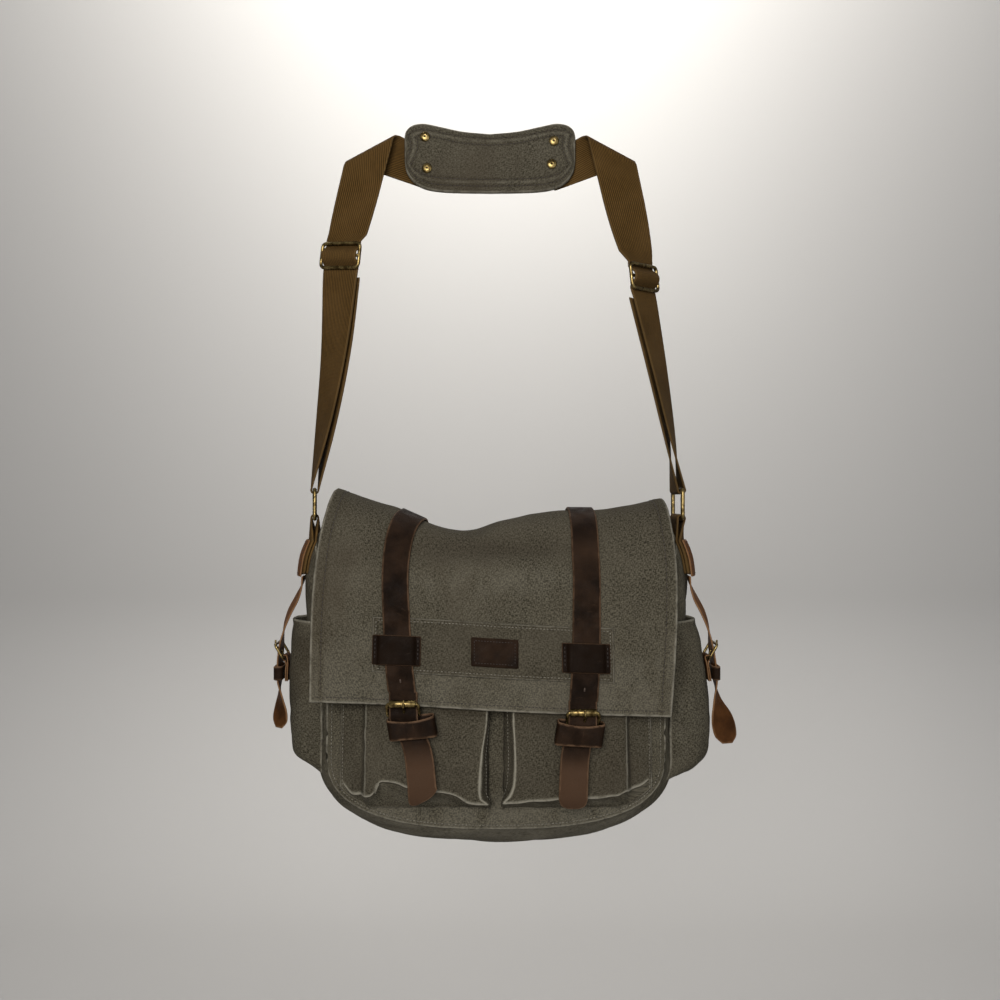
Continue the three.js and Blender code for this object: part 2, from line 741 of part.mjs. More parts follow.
// A loop sewn to the flap band at both sides, over the closure strap.
function makeFlapKeeper(side, x, height) {
  const over = OVER_BAND + LEATHER + GAP;
  const section = [
    { x: -20.5, lift: OVER_BAND },
    { x: -17, lift: OVER_BAND },
    { x: -13.2, lift: over },
    { x: 13.2, lift: over },
    { x: 17, lift: OVER_BAND },
    { x: 20.5, lift: OVER_BAND },
  ];
  const tall = 24;
  const rows = spread(height + tall / 2, height - tall / 2, 4).map((h) =>
    section.map((s) => onFlap(x + s.x, flapShare(x + s.x, hem(x + s.x) + h), s.lift)),
  );
  piece("flap_keeper_" + side, "leather", wall(rows, 0, THIN_LEATHER));
}

function makeLabel() {
  const patch = { x: -1, wide: 40, tall: 23, height: 49 };
  const rows = spread(patch.height + patch.tall / 2, patch.height - patch.tall / 2, 3).map((h) =>
    spread(patch.x - patch.wide / 2, patch.x + patch.wide / 2, 5).map((x) =>
      onFlap(x, flapShare(x, hem(x) + h), OVER_BAND + 0.2),
    ),
  );
  piece("label_patch", "leather", wall(rows, 0, THIN_LEATHER));
}

for (const side of ["left", "right"]) makeClosure(side);
makeFlapKeeper("left", -87, 46.5);
makeFlapKeeper("right", 79, 48);
makeLabel();

// Rings, shoulder strap and the straps of the side pockets

// Turns a mirrored grid round again, so that its outside stays outside.
function mirrored(rows, sign) {
  const flipped = rows.map((row) => row.map((p) => at(sign * p.x, p.y, p.z)));
  return sign < 0 ? flipped.map((row) => row.toReversed()) : flipped;
}

// Directions along a ring's bars and out of its plane.
function ringFrame(side) {
  const angle = THREE.MathUtils.degToRad(RING_TURN[side]);
  return { along: at(Math.cos(angle), Math.sin(angle), 0), out: at(Math.sin(angle), -Math.cos(angle), 0) };
}

// A point near a ring's middle: a distance along its bars, a distance out of its plane and a height.
function byRing(side, along, out, z) {
  const frame = ringFrame(side);
  return at(RING_X, RING_Y, z).addScaledVector(frame.along, along).addScaledVector(frame.out, out);
}

// A rectangular ring of wire, standing edge-on at the top of the gusset.
function makeRing(side, sign) {
  const middle = (RING_TOP + RING_BOTTOM) / 2;
  const tall = (RING_TOP - RING_BOTTOM) / 2;
  const points = roundedRectangle(RING_HALF_LENGTH, tall, 3.5, 3).map(([y, z]) =>
    byRing(side, y, 0, middle + z),
  );
  const { out } = ringFrame(side);
  const turned = points.map((p) => at(sign * p.x, p.y, p.z));
  piece("strap_ring_" + side, "brass", wireLoop(turned, RING_WIRE, 6, at(sign * out.x, out.y, 0)));
}

// A loop of webbing over the ring's lower bar, with both legs sewn to the gusset, and the leather over them.
function makeRingTab(side, sign) {
  const half = WEBBING_WIDTH / 2 - 1;
  const inside = RING_WIRE + GAP;
  const apart = 1; // between the legs
  const across = [-half, 0, half];
  const legs = [-420, -405, -390];
  const rest = (y, z, lift) => gussetSide(RING_Y + y, z) + 2 * SEAM_GAP + lift;
  const leg = (z, lift) => across.map((y) => at(rest(y, z, lift), RING_Y + y, z));
  const turn = spread(0, Math.PI, 7).map((a) =>
    across.map((y) => byRing(side, y, -inside * Math.cos(a), RING_BOTTOM + inside * Math.sin(a))),
  );
  const rows = [
    ...legs.map((z) => leg(z, WEBBING)),
    ...turn,
    ...legs.toReversed().map((z) => leg(z, WEBBING + apart)),
  ];
  piece("ring_tab_" + side, "webbing", wall(mirrored(rows, sign), 0, WEBBING));
  const patchLift = 2 * (WEBBING + GAP) + apart;
  const patchTop = -390;
  const patchFoot = -423;
  const patch = spread(patchTop, patchFoot, 5).map((z) =>
    [-16, -8, 0, 8, 16].map((y) => at(rest(y, z, patchLift), RING_Y + y, z)),
  );
  piece("ring_patch_" + side, "tan_leather", wall(mirrored(patch, sign), 0, THIN_LEATHER));
}

// The side pocket's strap, from the gusset over the rim and through a buckle to a free tip.
const SIDE_STRAP = [
  { x: 182, y: 2, z: -424, turn: 0, half: 9 },
  { x: 184.5, y: 2, z: -434, turn: -12, half: 9 },
  { x: 189.5, y: 2, z: -446, turn: -22, half: 9 },
  { x: 195.5, y: 1, z: -458, turn: -22, half: 9 },
  { x: 200.5, y: 0, z: -473, turn: -14, half: 9 },
  { x: 203.5, y: 0, z: -492, turn: 0, half: 9 },
];
const SIDE_TIPS = {
  left: [
    { x: 204.6, y: -1, z: -520, turn: 0, half: 9 },
    { x: 203.2, y: -4, z: -535, turn: -22, half: 9 },
    { x: 202, y: -8, z: -548, turn: -42, half: 10.5 },
    { x: 202, y: -11, z: -558, turn: -52, half: 9.5 },
    { x: 202.5, y: -13, z: -564, turn: -56, half: 4.5 },
  ],
  right: [
    { x: 206.6, y: -1, z: -520, turn: 0, half: 9 },
    { x: 208, y: -4, z: -540, turn: -30, half: 9.5 },
    { x: 212, y: -8, z: -556, turn: -60, half: 12.5 },
    { x: 215, y: -10, z: -572, turn: -72, half: 11 },
    { x: 216.5, y: -11, z: -579, turn: -75, half: 6 },
  ],
};
const SIDE_BUCKLE = { z: -492, x: 203.5, tall: 8, halfWidth: 13, wire: 1.3 };

function makeSideStrap(side, sign) {
  const rows = [...SIDE_STRAP, ...SIDE_TIPS[side]].map(({ x, y, z, turn, half }) => {
    const angle = THREE.MathUtils.degToRad(turn);
    return [-half, 0, half].map((w) => at(x - w * Math.sin(angle), y + w * Math.cos(angle), z));
  });
  const hole = box(12, 3.4, 10, sign * SIDE_BUCKLE.x, 0, SIDE_BUCKLE.z - 1);
  piece("side_strap_" + side, "tan_leather", cut(wall(mirrored(rows, sign), 0, THIN_LEATHER), hole));
}

// A small buckle on the outside of the side pocket, with its prong, its tab and a keeper.
function makeSideBuckle(side, sign) {
  const { z, x, tall, halfWidth, wire } = SIDE_BUCKLE;
  const lower = at(x - 4.2, 0, z - tall);
  const upper = at(x + THIN_LEATHER + wire + 0.6, 0, z + tall - 3);
  const up = upper.clone().sub(lower);
  const reach = up.length() / 2;
  up.normalize();
  const middle = lower.clone().add(upper).multiplyScalar(0.5);
  const facing = up.clone().cross(at(0, 1, 0));
  const frame = roundedRectangle(halfWidth, reach, 3, 3).map(([a, b]) =>
    middle.clone().addScaledVector(at(0, 1, 0), a).addScaledVector(up, b),
  );
  const turned = sign > 0 ? frame : frame.map((p) => at(-p.x, p.y, p.z)).toReversed();
  const face = at(sign * facing.x, 0, facing.z);
  piece("side_buckle_" + side, "brass", wireLoop(turned, wire, 6, face));
  const pin = prongSide(lower, upper, wire);
  piece("side_prong_" + side, "brass", sign > 0 ? pin : mirrorGeometry(pin));
  const inside = wire + GAP;
  const half = 7;
  const foot = [-522, -512, -505];
  const rest = (h) => sidePocketFace(side, 0, h) + SEAM_GAP;
  const row = (px, pz) => [-half, 0, half].map((y) => at(px, y, pz));
  const rows = [
    ...foot.map((h) => row(rest(h) + SMALL_LEATHER, h)),
    ...spread(0, Math.PI, 7).map((a) => row(lower.x - inside * Math.cos(a), lower.z + inside * Math.sin(a))),
    ...foot.toReversed().map((h) => row(rest(h) + SMALL_LEATHER + GAP, h)),
  ];
  const tab = wall(mirrored(rows, sign), 0, SMALL_LEATHER);
  const slit = box(8, 3.4, 8, sign * (lower.x + inside + 1), 0, lower.z + 1.5);
  piece("side_buckle_tab_" + side, "tan_leather", cut(tab, slit));
}

// The small prong, from the lower bar through the strap to the upper bar.
function prongSide(lower, upper, wire) {
  const radius = 0.9;
  const clear = wire + radius + 0.4;
  const path = new THREE.CatmullRomCurve3([
    at(lower.x + clear, 0, lower.z + 0.5),
    at(lower.x + clear + 1.5, 0, lower.z + 5),
    at(upper.x + clear - 0.5, 0, upper.z - 3),
    at(upper.x + clear, 0, upper.z + 2.5),
  ]);
  return new THREE.ExtrudeGeometry(hexagon(radius), { steps: 6, extrudePath: path });
}

// The mirror image of a geometry in the plane X = 0, its faces turned out again.
function mirrorGeometry(geometry) {
  const flat = geometry.index ? geometry.toNonIndexed() : geometry;
  const position = flat.getAttribute("position").clone();
  const turned = position.clone();
  for (let i = 0; i < position.count; i++) {
    const from = i - (i % 3) + [0, 2, 1][i % 3];
    turned.setXYZ(i, -position.getX(from), position.getY(from), position.getZ(from));
  }
  return new THREE.BufferGeometry().setAttribute("position", turned);
}

const SIDE_KEEPER_FRONT = { left: 207.6, right: 209.2 };

function makeSideKeeper(side, sign) {
  const z = -514;
  const back = sidePocketFace(side, 0, z) + SEAM_GAP + 5.4;
  const front = SIDE_KEEPER_FRONT[side];
  const middle = (back + front) / 2;
  const rows = roundedRectangle((front - back) / 2, 11, 2.2, 3).map(([a, b]) =>
    [-6, 6].map((up) => at(middle + a, b - 0.5, z + up)),
  );
  const keeper = sign > 0 ? rows : mirrored(rows, sign);
  piece("side_keeper_" + side, "leather", wall(keeper, 0, 1.4, true));
}

for (const [side, sign] of [["left", -1], ["right", 1]]) {
  makeRing(side, sign);
  makeRingTab(side, sign);
  makeSideStrap(side, sign);
  makeSideBuckle(side, sign);
  makeSideKeeper(side, sign);
}

// The shoulder strap is two webbings, each sewn to one end of the pad. Each folds over at a slant,
// runs down through a slide adjuster to the ring, and comes back up behind itself to the adjuster.
const FOLD = { radius: 5, depth: 6, axis: at(-0.88, 0, 0.475).normalize() };
const SLIDE = { halfWidth: 21.1, halfHeight: 13.2, bar: 3.4, thick: 3, depth: -2.8 };
const HANG = at(-0.105, 0, 0.995).normalize(); // direction up the webbing at the adjusters
const WEBBINGS = {
  left: {
    sign: -1,
    fold: at(122, 0, -24),
    slide: at(146.5, 0, -120),
    padEnd: 62,
    route: [
      { drop: 0, x: 147.5, y: 3.4, turn: 24, apart: 1.4 },
      { drop: 0.35, x: 153, y: 4.5, turn: 42, apart: 1.6 },
      { drop: 0.68, x: 162.5, y: 6.5, turn: 58, apart: 1.8 },
      { drop: 1, x: RING_X, y: RING_Y, turn: RING_TURN.left, apart: RING_WIRE + GAP },
    ],
  },
  right: {
    sign: 1,
    fold: at(111, 0, -24),
    slide: at(138.5, 0, -140.6),
    padEnd: 50,
    route: [
      { drop: 0, x: 139.5, y: 3.4, turn: 46, apart: 1.4 },
      { drop: 0.4, x: 154.5, y: 4.5, turn: 60, apart: 1.6 },
      { drop: 0.76, x: 167, y: 6.5, turn: 74, apart: 1.8 },
      { drop: 1, x: RING_X, y: RING_Y, turn: RING_TURN.right, apart: RING_WIRE + GAP },
    ],
  },
};

// A row of webbing about a centre, running along a direction and twisted; depth is how far back it lies.
function webbingRow(centre, along, turn, depth) {
  const angle = THREE.MathUtils.degToRad(turn);
  const half = WEBBING_WIDTH / 2;
  const level = at(along.z, 0, -along.x);
  const across = level.clone().multiplyScalar(Math.cos(angle)).add(at(0, Math.sin(angle), 0));
  const back = level.clone().multiplyScalar(-Math.sin(angle)).add(at(0, Math.cos(angle), 0));
  return [-half, 0, half].map((w) => centre.clone().addScaledVector(across, w).addScaledVector(back, depth));
}

// Rows of webbing from behind the pad, over the fold and down to the slide adjuster.
function upperRows({ fold, slide, padEnd, route }) {
  const along = fold.clone().sub(slide).normalize();
  const lift = at(-FOLD.axis.z, 0, FOLD.axis.x).negate();
  const cosine = along.dot(FOLD.axis);
  const sine = along.dot(lift);
  const half = WEBBING_WIDTH / 2;
  const front = FOLD.depth - FOLD.radius;
  const flat = (p, q, y) => fold.clone().addScaledVector(FOLD.axis, p).addScaledVector(lift, q).setY(y);
  const rows = [];
  const steps = 8;
  for (let k = steps; k >= 0; k--) {
    const angle = (Math.PI * k) / steps;
    const q = FOLD.radius * angle;
    const rise = FOLD.radius * Math.sin(angle);
    const y = FOLD.depth - FOLD.radius * Math.cos(angle);
    rows.push([-half, 0, half].map((w) => flat((q * cosine) / sine - w / sine, rise, y)));
  }
  const back = along.clone().addScaledVector(lift, -2 * sine);
  const start = rows[0][1];
  const length = (start.x - padEnd) / -back.x;
  const sideways = at(-back.z, 0, back.x);
  const padRow = [-half, 0, half].map((w) =>
    start.clone().addScaledVector(back, length).addScaledVector(sideways, w),
  );
  const full = route[0].turn;
  const between = [0.4, 0.6, 0.78].map((share) => {
    const direction = along.clone().lerp(HANG, share).normalize();
    return webbingRow(fold.clone().lerp(slide, share), direction, full * share * share, front);
  });
  const over = SLIDE.depth - SLIDE.thick / 2 - GAP;
  const local = (offset, depth) => webbingRow(slide.clone().addScaledVector(HANG, offset), HANG, full, depth);
  return [
    padRow,
    ...rows,
    ...between,
    local(14, front),
    local(8.4, front),
    local(2.6, over),
    local(-2.6, over),
    local(-8.4, front),
    local(-14, front),
  ];
}

// Rows from the adjuster down to the ring, round its upper bar and up again behind the first layer.
function lowerRows(side, { slide, route }) {
  const half = WEBBING_WIDTH / 2;
  const top = slide.z - 17;
  const row = (drop, layer) => {
    const value = (column) => smooth(route, "drop", column, drop);
    const angle = THREE.MathUtils.degToRad(value("turn"));
    const out = at(Math.sin(angle), -Math.cos(angle), 0);
    const across = at(Math.cos(angle), Math.sin(angle), 0);
    const centre = at(value("x"), value("y"), mix(top, RING_TOP, drop));
    centre.addScaledVector(out, layer * value("apart"));
    return [-half, 0, half].map((w) => centre.clone().addScaledVector(across, w));
  };
  const drops = [0.02, 0.14, 0.28, 0.42, 0.56, 0.7, 0.84, 0.93, 1];
  const inside = RING_WIRE + GAP;
  const turn = spread(0, Math.PI, 7).slice(1, -1).map((a) =>
    [-half, 0, half].map((w) => byRing(side, w, inside * Math.cos(a), RING_TOP - inside * Math.sin(a))),
  );
  return [...drops.map((d) => row(d, 1)), ...turn, ...drops.toReversed().map((d) => row(d, -1))];
}

function makeShoulderStrap(side) {
  const webbing = WEBBINGS[side];
  const rows = [...upperRows(webbing), ...lowerRows(side, webbing)];
  piece("shoulder_strap_" + side, "webbing", wall(mirrored(rows, webbing.sign), 0, WEBBING));
}

// A flat brass frame with a bar across its middle.
function makeSlide(side) {
  const { sign, slide, route } = WEBBINGS[side];
  const { halfWidth, halfHeight, bar, thick, depth } = SLIDE;
  const outline = (w, h, r) => roundedRectangle(w, h, r, 3).map(([x, y]) => new THREE.Vector2(x, y));
  const frame = new THREE.Shape(outline(halfWidth + bar / 2, halfHeight, 4));
  const inner = halfHeight - bar;
  const holeHalf = (inner - bar / 2) / 2;
  for (const up of [-1, 1]) {
    const centre = new THREE.Vector2(0, up * (bar / 2 + holeHalf));
    frame.holes.push(new THREE.Path(outline(halfWidth - bar / 2, holeHalf, 1.5).map((p) => p.add(centre))));
  }
  const geometry = new THREE.ExtrudeGeometry(frame, { depth: thick, bevelEnabled: false });
  geometry.translate(0, 0, -thick / 2).rotateX(Math.PI / 2);
  const centre = webbingRow(slide, HANG, route[0].turn, depth)[1];
  geometry.rotateZ(sign * THREE.MathUtils.degToRad(route[0].turn)).rotateY(sign * Math.atan2(HANG.x, HANG.z));
  geometry.translate(sign * centre.x, centre.y, centre.z);
  piece("slide_adjuster_" + side, "brass", geometry);
}

// The shoulder pad: a flat boat shape, with rounded corners and a hollow top edge.
const PAD = {
  left: -88,
  right: 76,
  top: 9,
  sag: 9, // the middle of the top edge is this much lower
  low: -58.3,
  front: 3.6,
  thick: 7,
  corner: 32, // length of the rounded lower corners
  shoulder: 18, // length of the rounded upper corners
};

function makePad() {
  const { left, right, top, sag, low, front, thick, corner, shoulder } = PAD;
  const middle = (left + right) / 2;
  const side = { low: low + 0.75 * corner, high: top - shoulder / 2 }; // where the sides are straight
  const shape = new THREE.Shape();
  shape.moveTo(left, side.high);
  shape.lineTo(left, side.low);
  shape.quadraticCurveTo(left + 2, low + 6, left + corner, low + 1.5);
  shape.quadraticCurveTo(middle, low - 2, right - corner, low + 1.5);
  shape.quadraticCurveTo(right - 2, low + 6, right, side.low);
  shape.lineTo(right, side.high);
  shape.quadraticCurveTo(right - 1, top - 0.5, right - shoulder, top);
  shape.quadraticCurveTo(middle, top - 2 * sag, left + shoulder, top);
  shape.quadraticCurveTo(left + 1, top - 0.5, left, side.high);
  const geometry = new THREE.ExtrudeGeometry(shape, { depth: thick, bevelEnabled: false, curveSegments: 6 });
  geometry.rotateX(Math.PI / 2).translate(0, front + thick, 0);
  piece("shoulder_pad", "canvas", geometry);
}

// Domed rivets on the front of the pad.
const RIVETS = [
  { x: -68, z: -5 },
  { x: -66, z: -35 },
  { x: 55, z: -9 },
  { x: 53, z: -31 },
];

function makeRivets() {
  const dome = [[0, 0], [4.8, 0], [4, 1.2], [0, 1.9]].map(([r, h]) => new THREE.Vector2(r, h));
  RIVETS.forEach(({ x, z }, i) => {
    const rivet = new THREE.LatheGeometry(dome, 10).rotateX(Math.PI);
    piece("pad_rivet_" + (i + 1), "brass", rivet.translate(x, PAD.front - GAP, z));
  });
}

for (const side of ["left", "right"]) {
  makeShoulderStrap(side);
  makeSlide(side);
}
makePad();
makeRivets();

export default bag;
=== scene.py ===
"""A canvas and leather messenger bag, hanging by its shoulder strap.

Sizes are in millimetres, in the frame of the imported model: X to the right, the front faces -Y, Z up.
"""
import math

import bpy
import numpy as np
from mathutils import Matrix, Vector


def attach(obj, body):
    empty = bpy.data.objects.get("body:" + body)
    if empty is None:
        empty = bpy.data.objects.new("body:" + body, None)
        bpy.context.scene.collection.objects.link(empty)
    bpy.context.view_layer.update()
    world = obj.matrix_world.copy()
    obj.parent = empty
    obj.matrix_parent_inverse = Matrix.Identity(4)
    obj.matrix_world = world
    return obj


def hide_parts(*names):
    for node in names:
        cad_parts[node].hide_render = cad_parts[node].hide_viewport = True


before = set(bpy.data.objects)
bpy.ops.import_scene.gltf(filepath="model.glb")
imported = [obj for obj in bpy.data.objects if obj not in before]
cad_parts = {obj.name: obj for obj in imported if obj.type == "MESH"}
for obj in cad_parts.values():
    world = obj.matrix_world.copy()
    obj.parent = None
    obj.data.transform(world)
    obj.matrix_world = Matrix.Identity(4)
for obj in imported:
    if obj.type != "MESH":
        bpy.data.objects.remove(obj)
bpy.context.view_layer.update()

MM = 0.001
SEED = 7
SIDES = {"left": -1, "right": 1}
UP = np.array([0.0, 0.0, 1.0])


# Small helpers for tables and numbers

def columns(names, *rows):
    """A table as arrays, one for each named column."""
    return {name: np.array(values, float) for name, values in zip(names.split(), zip(*rows))}


def smooth(table, column, place):
    """Smooth value of a column at places along the table's first column, which rises from row to row."""
    x, y = next(iter(table.values())), table[column]
    last = len(x) - 1
    k = np.arange(last + 1)
    before, after = np.maximum(k - 1, 0), np.minimum(k + 1, last)
    slope = (y[after] - y[before]) / (x[after] - x[before])
    place = np.clip(np.asarray(place, float), x[0], x[-1])
    i = np.clip(np.searchsorted(x, place) - 1, 0, last - 1)
    span = x[i + 1] - x[i]
    t = (place - x[i]) / span
    ease = t * t * (3 - 2 * t)
    bend = slope[i] * (t**3 - 2 * t**2 + t) + slope[i + 1] * (t**3 - t**2)
    return y[i] + (y[i + 1] - y[i]) * ease + span * bend


def mix(a, b, share):
    return a + (b - a) * share


def step(low, high, value):
    """0 below low, 1 above high, smooth between."""
    t = np.clip((np.asarray(value, float) - low) / (high - low), 0, 1)
    return t * t * (3 - 2 * t)


def point(x, y, z):
    """Points from arrays of coordinates."""
    return np.stack(np.broadcast_arrays(x, y, z), axis=-1).astype(float)


def unit(vectors):
    return vectors / np.maximum(np.linalg.norm(vectors, axis=-1, keepdims=True), 1e-9)


LATTICE = np.random.default_rng(SEED).uniform(-1, 1, (8, 64, 64))


def ripple(u, v, layer=0):
    """Smooth seeded noise between -1 and 1, one bump per unit of u and v."""
    u, v = np.broadcast_arrays(np.asarray(u, float), np.asarray(v, float))
    iu, iv = np.floor(u).astype(int), np.floor(v).astype(int)
    fu, fv = u - iu, v - iv
    fu, fv = fu * fu * (3 - 2 * fu), fv * fv * (3 - 2 * fv)
    values = LATTICE[layer]
    low = mix(values[iu % 64, iv % 64], values[(iu + 1) % 64, iv % 64], fu)
    high = mix(values[iu % 64, (iv + 1) % 64], values[(iu + 1) % 64, (iv + 1) % 64], fu)
    return mix(low, high, fv)


def bump(x, z, centre_x, centre_z, wide, tall, turn=0.0):
    """A smooth hump of height 1, turned by an angle in degrees."""
    c, s = math.cos(math.radians(turn)), math.sin(math.radians(turn))
    dx, dz = x - centre_x, z - centre_z
    return np.exp(-(((dx * c + dz * s) / wide) ** 2) - ((-dx * s + dz * c) / tall) ** 2)


def peak(value, centre, width):
    """1 where the value is at a centre, falling away smoothly on both sides."""
    return np.exp(-(((value - centre) / width) ** 2))


# Building meshes

def grid_normals(grid, loop=False):
    """Directions out of a grid, rows running down and columns running right as seen from outside."""
    if loop:
        down = np.roll(grid, -1, 0) - np.roll(grid, 1, 0)
    else:
        down = np.gradient(grid, axis=0)
    right = np.gradient(grid, axis=1)
    return unit(np.cross(down, right))


def lengths(grid, axis):
    """Distance along a line, or along a grid's lines, from the first point."""
    steps = np.linalg.norm(np.diff(grid, axis=axis), axis=-1)
    start = np.zeros_like(np.take(steps, [0], axis=axis))
    return np.concatenate([start, np.cumsum(steps, axis=axis)], axis=axis)


def border_distance(grid, sides_only=False):
    """Distance of each point of a grid from its nearest edge, measured along the cloth."""
    across, along = lengths(grid, 1), lengths(grid, 0)
    sides = np.minimum(across, across[:, -1:] - across)
    return sides if sides_only else np.minimum(sides, np.minimum(along, along[-1:] - along))


def swell(grid, amount):
    """A grid pushed out along its normals by an amount at each point."""
    return grid + grid_normals(grid) * amount[..., None]


def skin(here, following):
    """Faces between rings of points and the rings that follow them."""
    return np.stack([here, np.roll(here, -1, 1), np.roll(following, -1, 1), following], -1).reshape(-1, 4)


def add_object(name, data):
    obj = bpy.data.objects.new(name, data)
    bpy.context.scene.collection.objects.link(obj)
    return obj


def add_mesh(name, points, faces, finish, uv=None, values=None):
    """A new object from points in millimetres, with a place on the cloth and named values at each point."""
    mesh = bpy.data.meshes.new(name)
    mesh.from_pydata((points * MM).tolist(), [], faces)
    mesh.polygons.foreach_set("use_smooth", np.ones(len(mesh.polygons), bool))
    if uv is not None:
        layer = mesh.uv_layers.new(name="cloth")
        corner = np.zeros(len(mesh.loops), int)
        mesh.loops.foreach_get("vertex_index", corner)
        layer.data.foreach_set("uv", (uv[corner] * MM).astype(np.float32).ravel())
    for key, value in (values or {}).items():
        attribute = mesh.attributes.new(key, "FLOAT", "POINT")
        attribute.data.foreach_set("value", np.asarray(value, np.float32))
    mesh.materials.append(finish)
    return add_object(name, mesh)


def wall(name, grid, inward, outward, finish, loop=False, rim_round=0.45, shade=0.0, kept=0.0, raw=1.0):
    """Cloth or leather: a grid thickened along its normals, with rounded edges.

    The value border holds the distance to the nearest edge, rim is raw on the cut edge itself,
    and shade carries a value of the caller's own: the piece's own tones and wear, and painted light
    and shade. Kept is a distance added to border, for edges that aren't worn.
    """
    rows, cols = grid.shape[:2]
    count = rows * cols
    surface = grid.reshape(-1, 3)
    out = grid_normals(grid, loop).reshape(-1, 3)
    index = np.arange(count).reshape(rows, cols)
    if loop:
        here, below = index, np.roll(index, -1, 0)
        rims = [index[:, 0], index[::-1, -1]]
    else:
        here, below = index[:-1], index[1:]
        rims = [np.concatenate([index[:-1, 0], index[-1, :-1], index[:0:-1, -1], index[0, :0:-1]])]
    quads = np.stack([here[:, :-1], below[:, :-1], below[:, 1:], here[:, 1:]], -1).reshape(-1, 4)
    points = [surface + out * outward, surface - out * inward]
    faces = [quads, quads[:, ::-1] + count]
    start = 2 * count
    for rim in rims:
        ring = surface[rim]
        aside = unit(np.cross(np.roll(ring, -1, 0) - np.roll(ring, 1, 0), out[rim]))
        middle = ring + out[rim] * (outward - inward) / 2
        points.append(middle + aside * (inward + outward) * rim_round)
        new = start + np.arange(len(rim))
        following, after = np.roll(rim, -1), np.roll(new, -1)
        faces.append(np.stack([rim, new, after, following], -1))
        faces.append(np.stack([new, rim + count, following + count, after], -1))
        start += len(rim)
    edge = np.concatenate(rims)

    def spread(value):
        """A value of the grid at the outer face, the inner face and the cut edge."""
        flat = np.broadcast_to(value, (rows, cols)).ravel()
        return np.concatenate([flat, flat, flat[edge]])

    border = spread(border_distance(grid, loop)) + kept
    on_edge = spread(raw)
    on_edge[: 2 * count] = 0
    values = {"border": border, "rim": on_edge, "shade": spread(shade)}
    uv = np.stack([spread(lengths(grid, 1)), spread(lengths(grid, 0))], -1)
    return add_mesh(name, np.concatenate(points), np.concatenate(faces).tolist(), finish, uv, values)


def strip_grid(centres, across, half, count):
    """A grid along a strap from its centres, directions across and half widths."""
    offsets = np.linspace(-1, 1, count)
    half = np.broadcast_to(np.asarray(half, float), (len(centres),))
    return centres[:, None] + across[:, None] * offsets[None, :, None] * half[:, None, None]


def read_line(points, reach, places):
    """Points at distances along a line, straight between its points."""
    return np.stack([np.interp(places, reach, column) for column in points.T], -1)


def resample(points, count):
    """Evenly spaced points along a smooth line; columns after the first three ride along."""
    points = np.asarray(points, float)
    reach = lengths(points[:, :3], 0)
    places = np.linspace(0, reach[-1], count)
    return np.stack([smooth({"at": reach, "to": column}, "to", places) for column in points.T], -1)


# The body's driving dimensions, as in the frame

GAP = 0.4
CANVAS = 2.0
LEATHER = 2.2
THIN_LEATHER = 1.6
WEBBING = 1.8
WEBBING_WIDTH = 38.0
BODY_HALF_WIDTH = 151.0
BODY_TOP = -420.0
SEAM_CORNER = -580.0
BASE_DEPTH = 65.0
BASE_POWER = 2.6
BACK = 48.0
BACK_BELOW_CREST = 32.0
WELT = 2.6
SEAM_GAP = 1.2
FRONT = {"top": -32.0, "lean": 26.0, "curve": 7.0, "belly": 4.0}  # form of the front panel

CREST = columns(
    "x z",
    (-158, -339), (-105, -356), (-60, -375), (-28, -381), (5, -372), (60, -362), (105, -361), (160, -350),
)
HEM = columns("x z", (-165, -527.2), (-100, -529.4), (-50, -532), (0, -535), (65, -538), (165, -540.5))
FLAP = columns(
    "v y drop share half middle",
    (0, 50.9, 58, 0, 150, 2),
    (0.1, 51, 34, 0, 151, 2),
    (0.2, 46, 12, 0, 153, 2.5),
    (0.28, 30, 2.5, 0, 154.5, 3),
    (0.36, 8, 0, 0, 155, 3),
    (0.45, -16, 0, 0.035, 155.5, 2.9),
    (0.53, -31, 0, 0.12, 157.5, 2.2),
    (0.63, -45, 0, 0.28, 160.5, 1),
    (0.76, -58, 0, 0.52, 161.2, -1),
    (0.88, -66, 0, 0.76, 159.5, -2.8),
    (1, -70, 0, 1, 157.4, -4.7),
)
FLAP_CREST = 0.36

# Dents (in is positive) and bulges of the flap's front
DENTS = columns(
    "x z wide tall turn depth",
    (5, -398, 70, 10, 0, 7), (-5, -422, 90, 16, 0, -5),
)


def crest(x):
    return smooth(CREST, "z", x)


def hem(x):
    return smooth(HEM, "z", x)


def dents(x, z):
    total = 0.0
    for cx, cz, wide, tall, turn, depth in zip(*DENTS.values()):
        total = total + depth * bump(x, z, cx, cz, wide, tall, turn)
    return total


def flap_point(x, v):
    """Outer surface of the flap at a place across and a share along its profile."""
    x, v = np.broadcast_arrays(np.asarray(x, float), np.asarray(v, float))
    top = crest(x)
    z = top - smooth(FLAP, "drop", v) - smooth(FLAP, "share", v) * (top - hem(x))
    front = step(FLAP_CREST - 0.02, FLAP_CREST + 0.06, v)
    y = smooth(FLAP, "y", v) + front * dents(x, z)
    return point(x, y, z)


def on_flap(x, v, lift):
    """The flap's outer surface, lifted off it along its normal."""
    v = np.asarray(v, float)
    small = 0.004
    low = np.minimum(v + small, 1)
    down = flap_point(x, low) - flap_point(x, low - 2 * small)
    right = flap_point(np.asarray(x) + 1, v) - flap_point(np.asarray(x) - 1, v)
    return flap_point(x, v) + unit(np.cross(down, right)) * np.asarray(lift, float)[..., None]


def flap_share(x, z):
    """Share along the profile where the front of the flap reaches a height."""
    x, z = np.broadcast_arrays(np.asarray(x, float), np.asarray(z, float))
    low, high = np.full(x.shape, FLAP_CREST), np.ones(x.shape)
    for _ in range(30):
        middle = (low + high) / 2
        above = flap_point(x, middle)[..., 2] > z
        low, high = np.where(above, middle, low), np.where(above, high, middle)
    return low


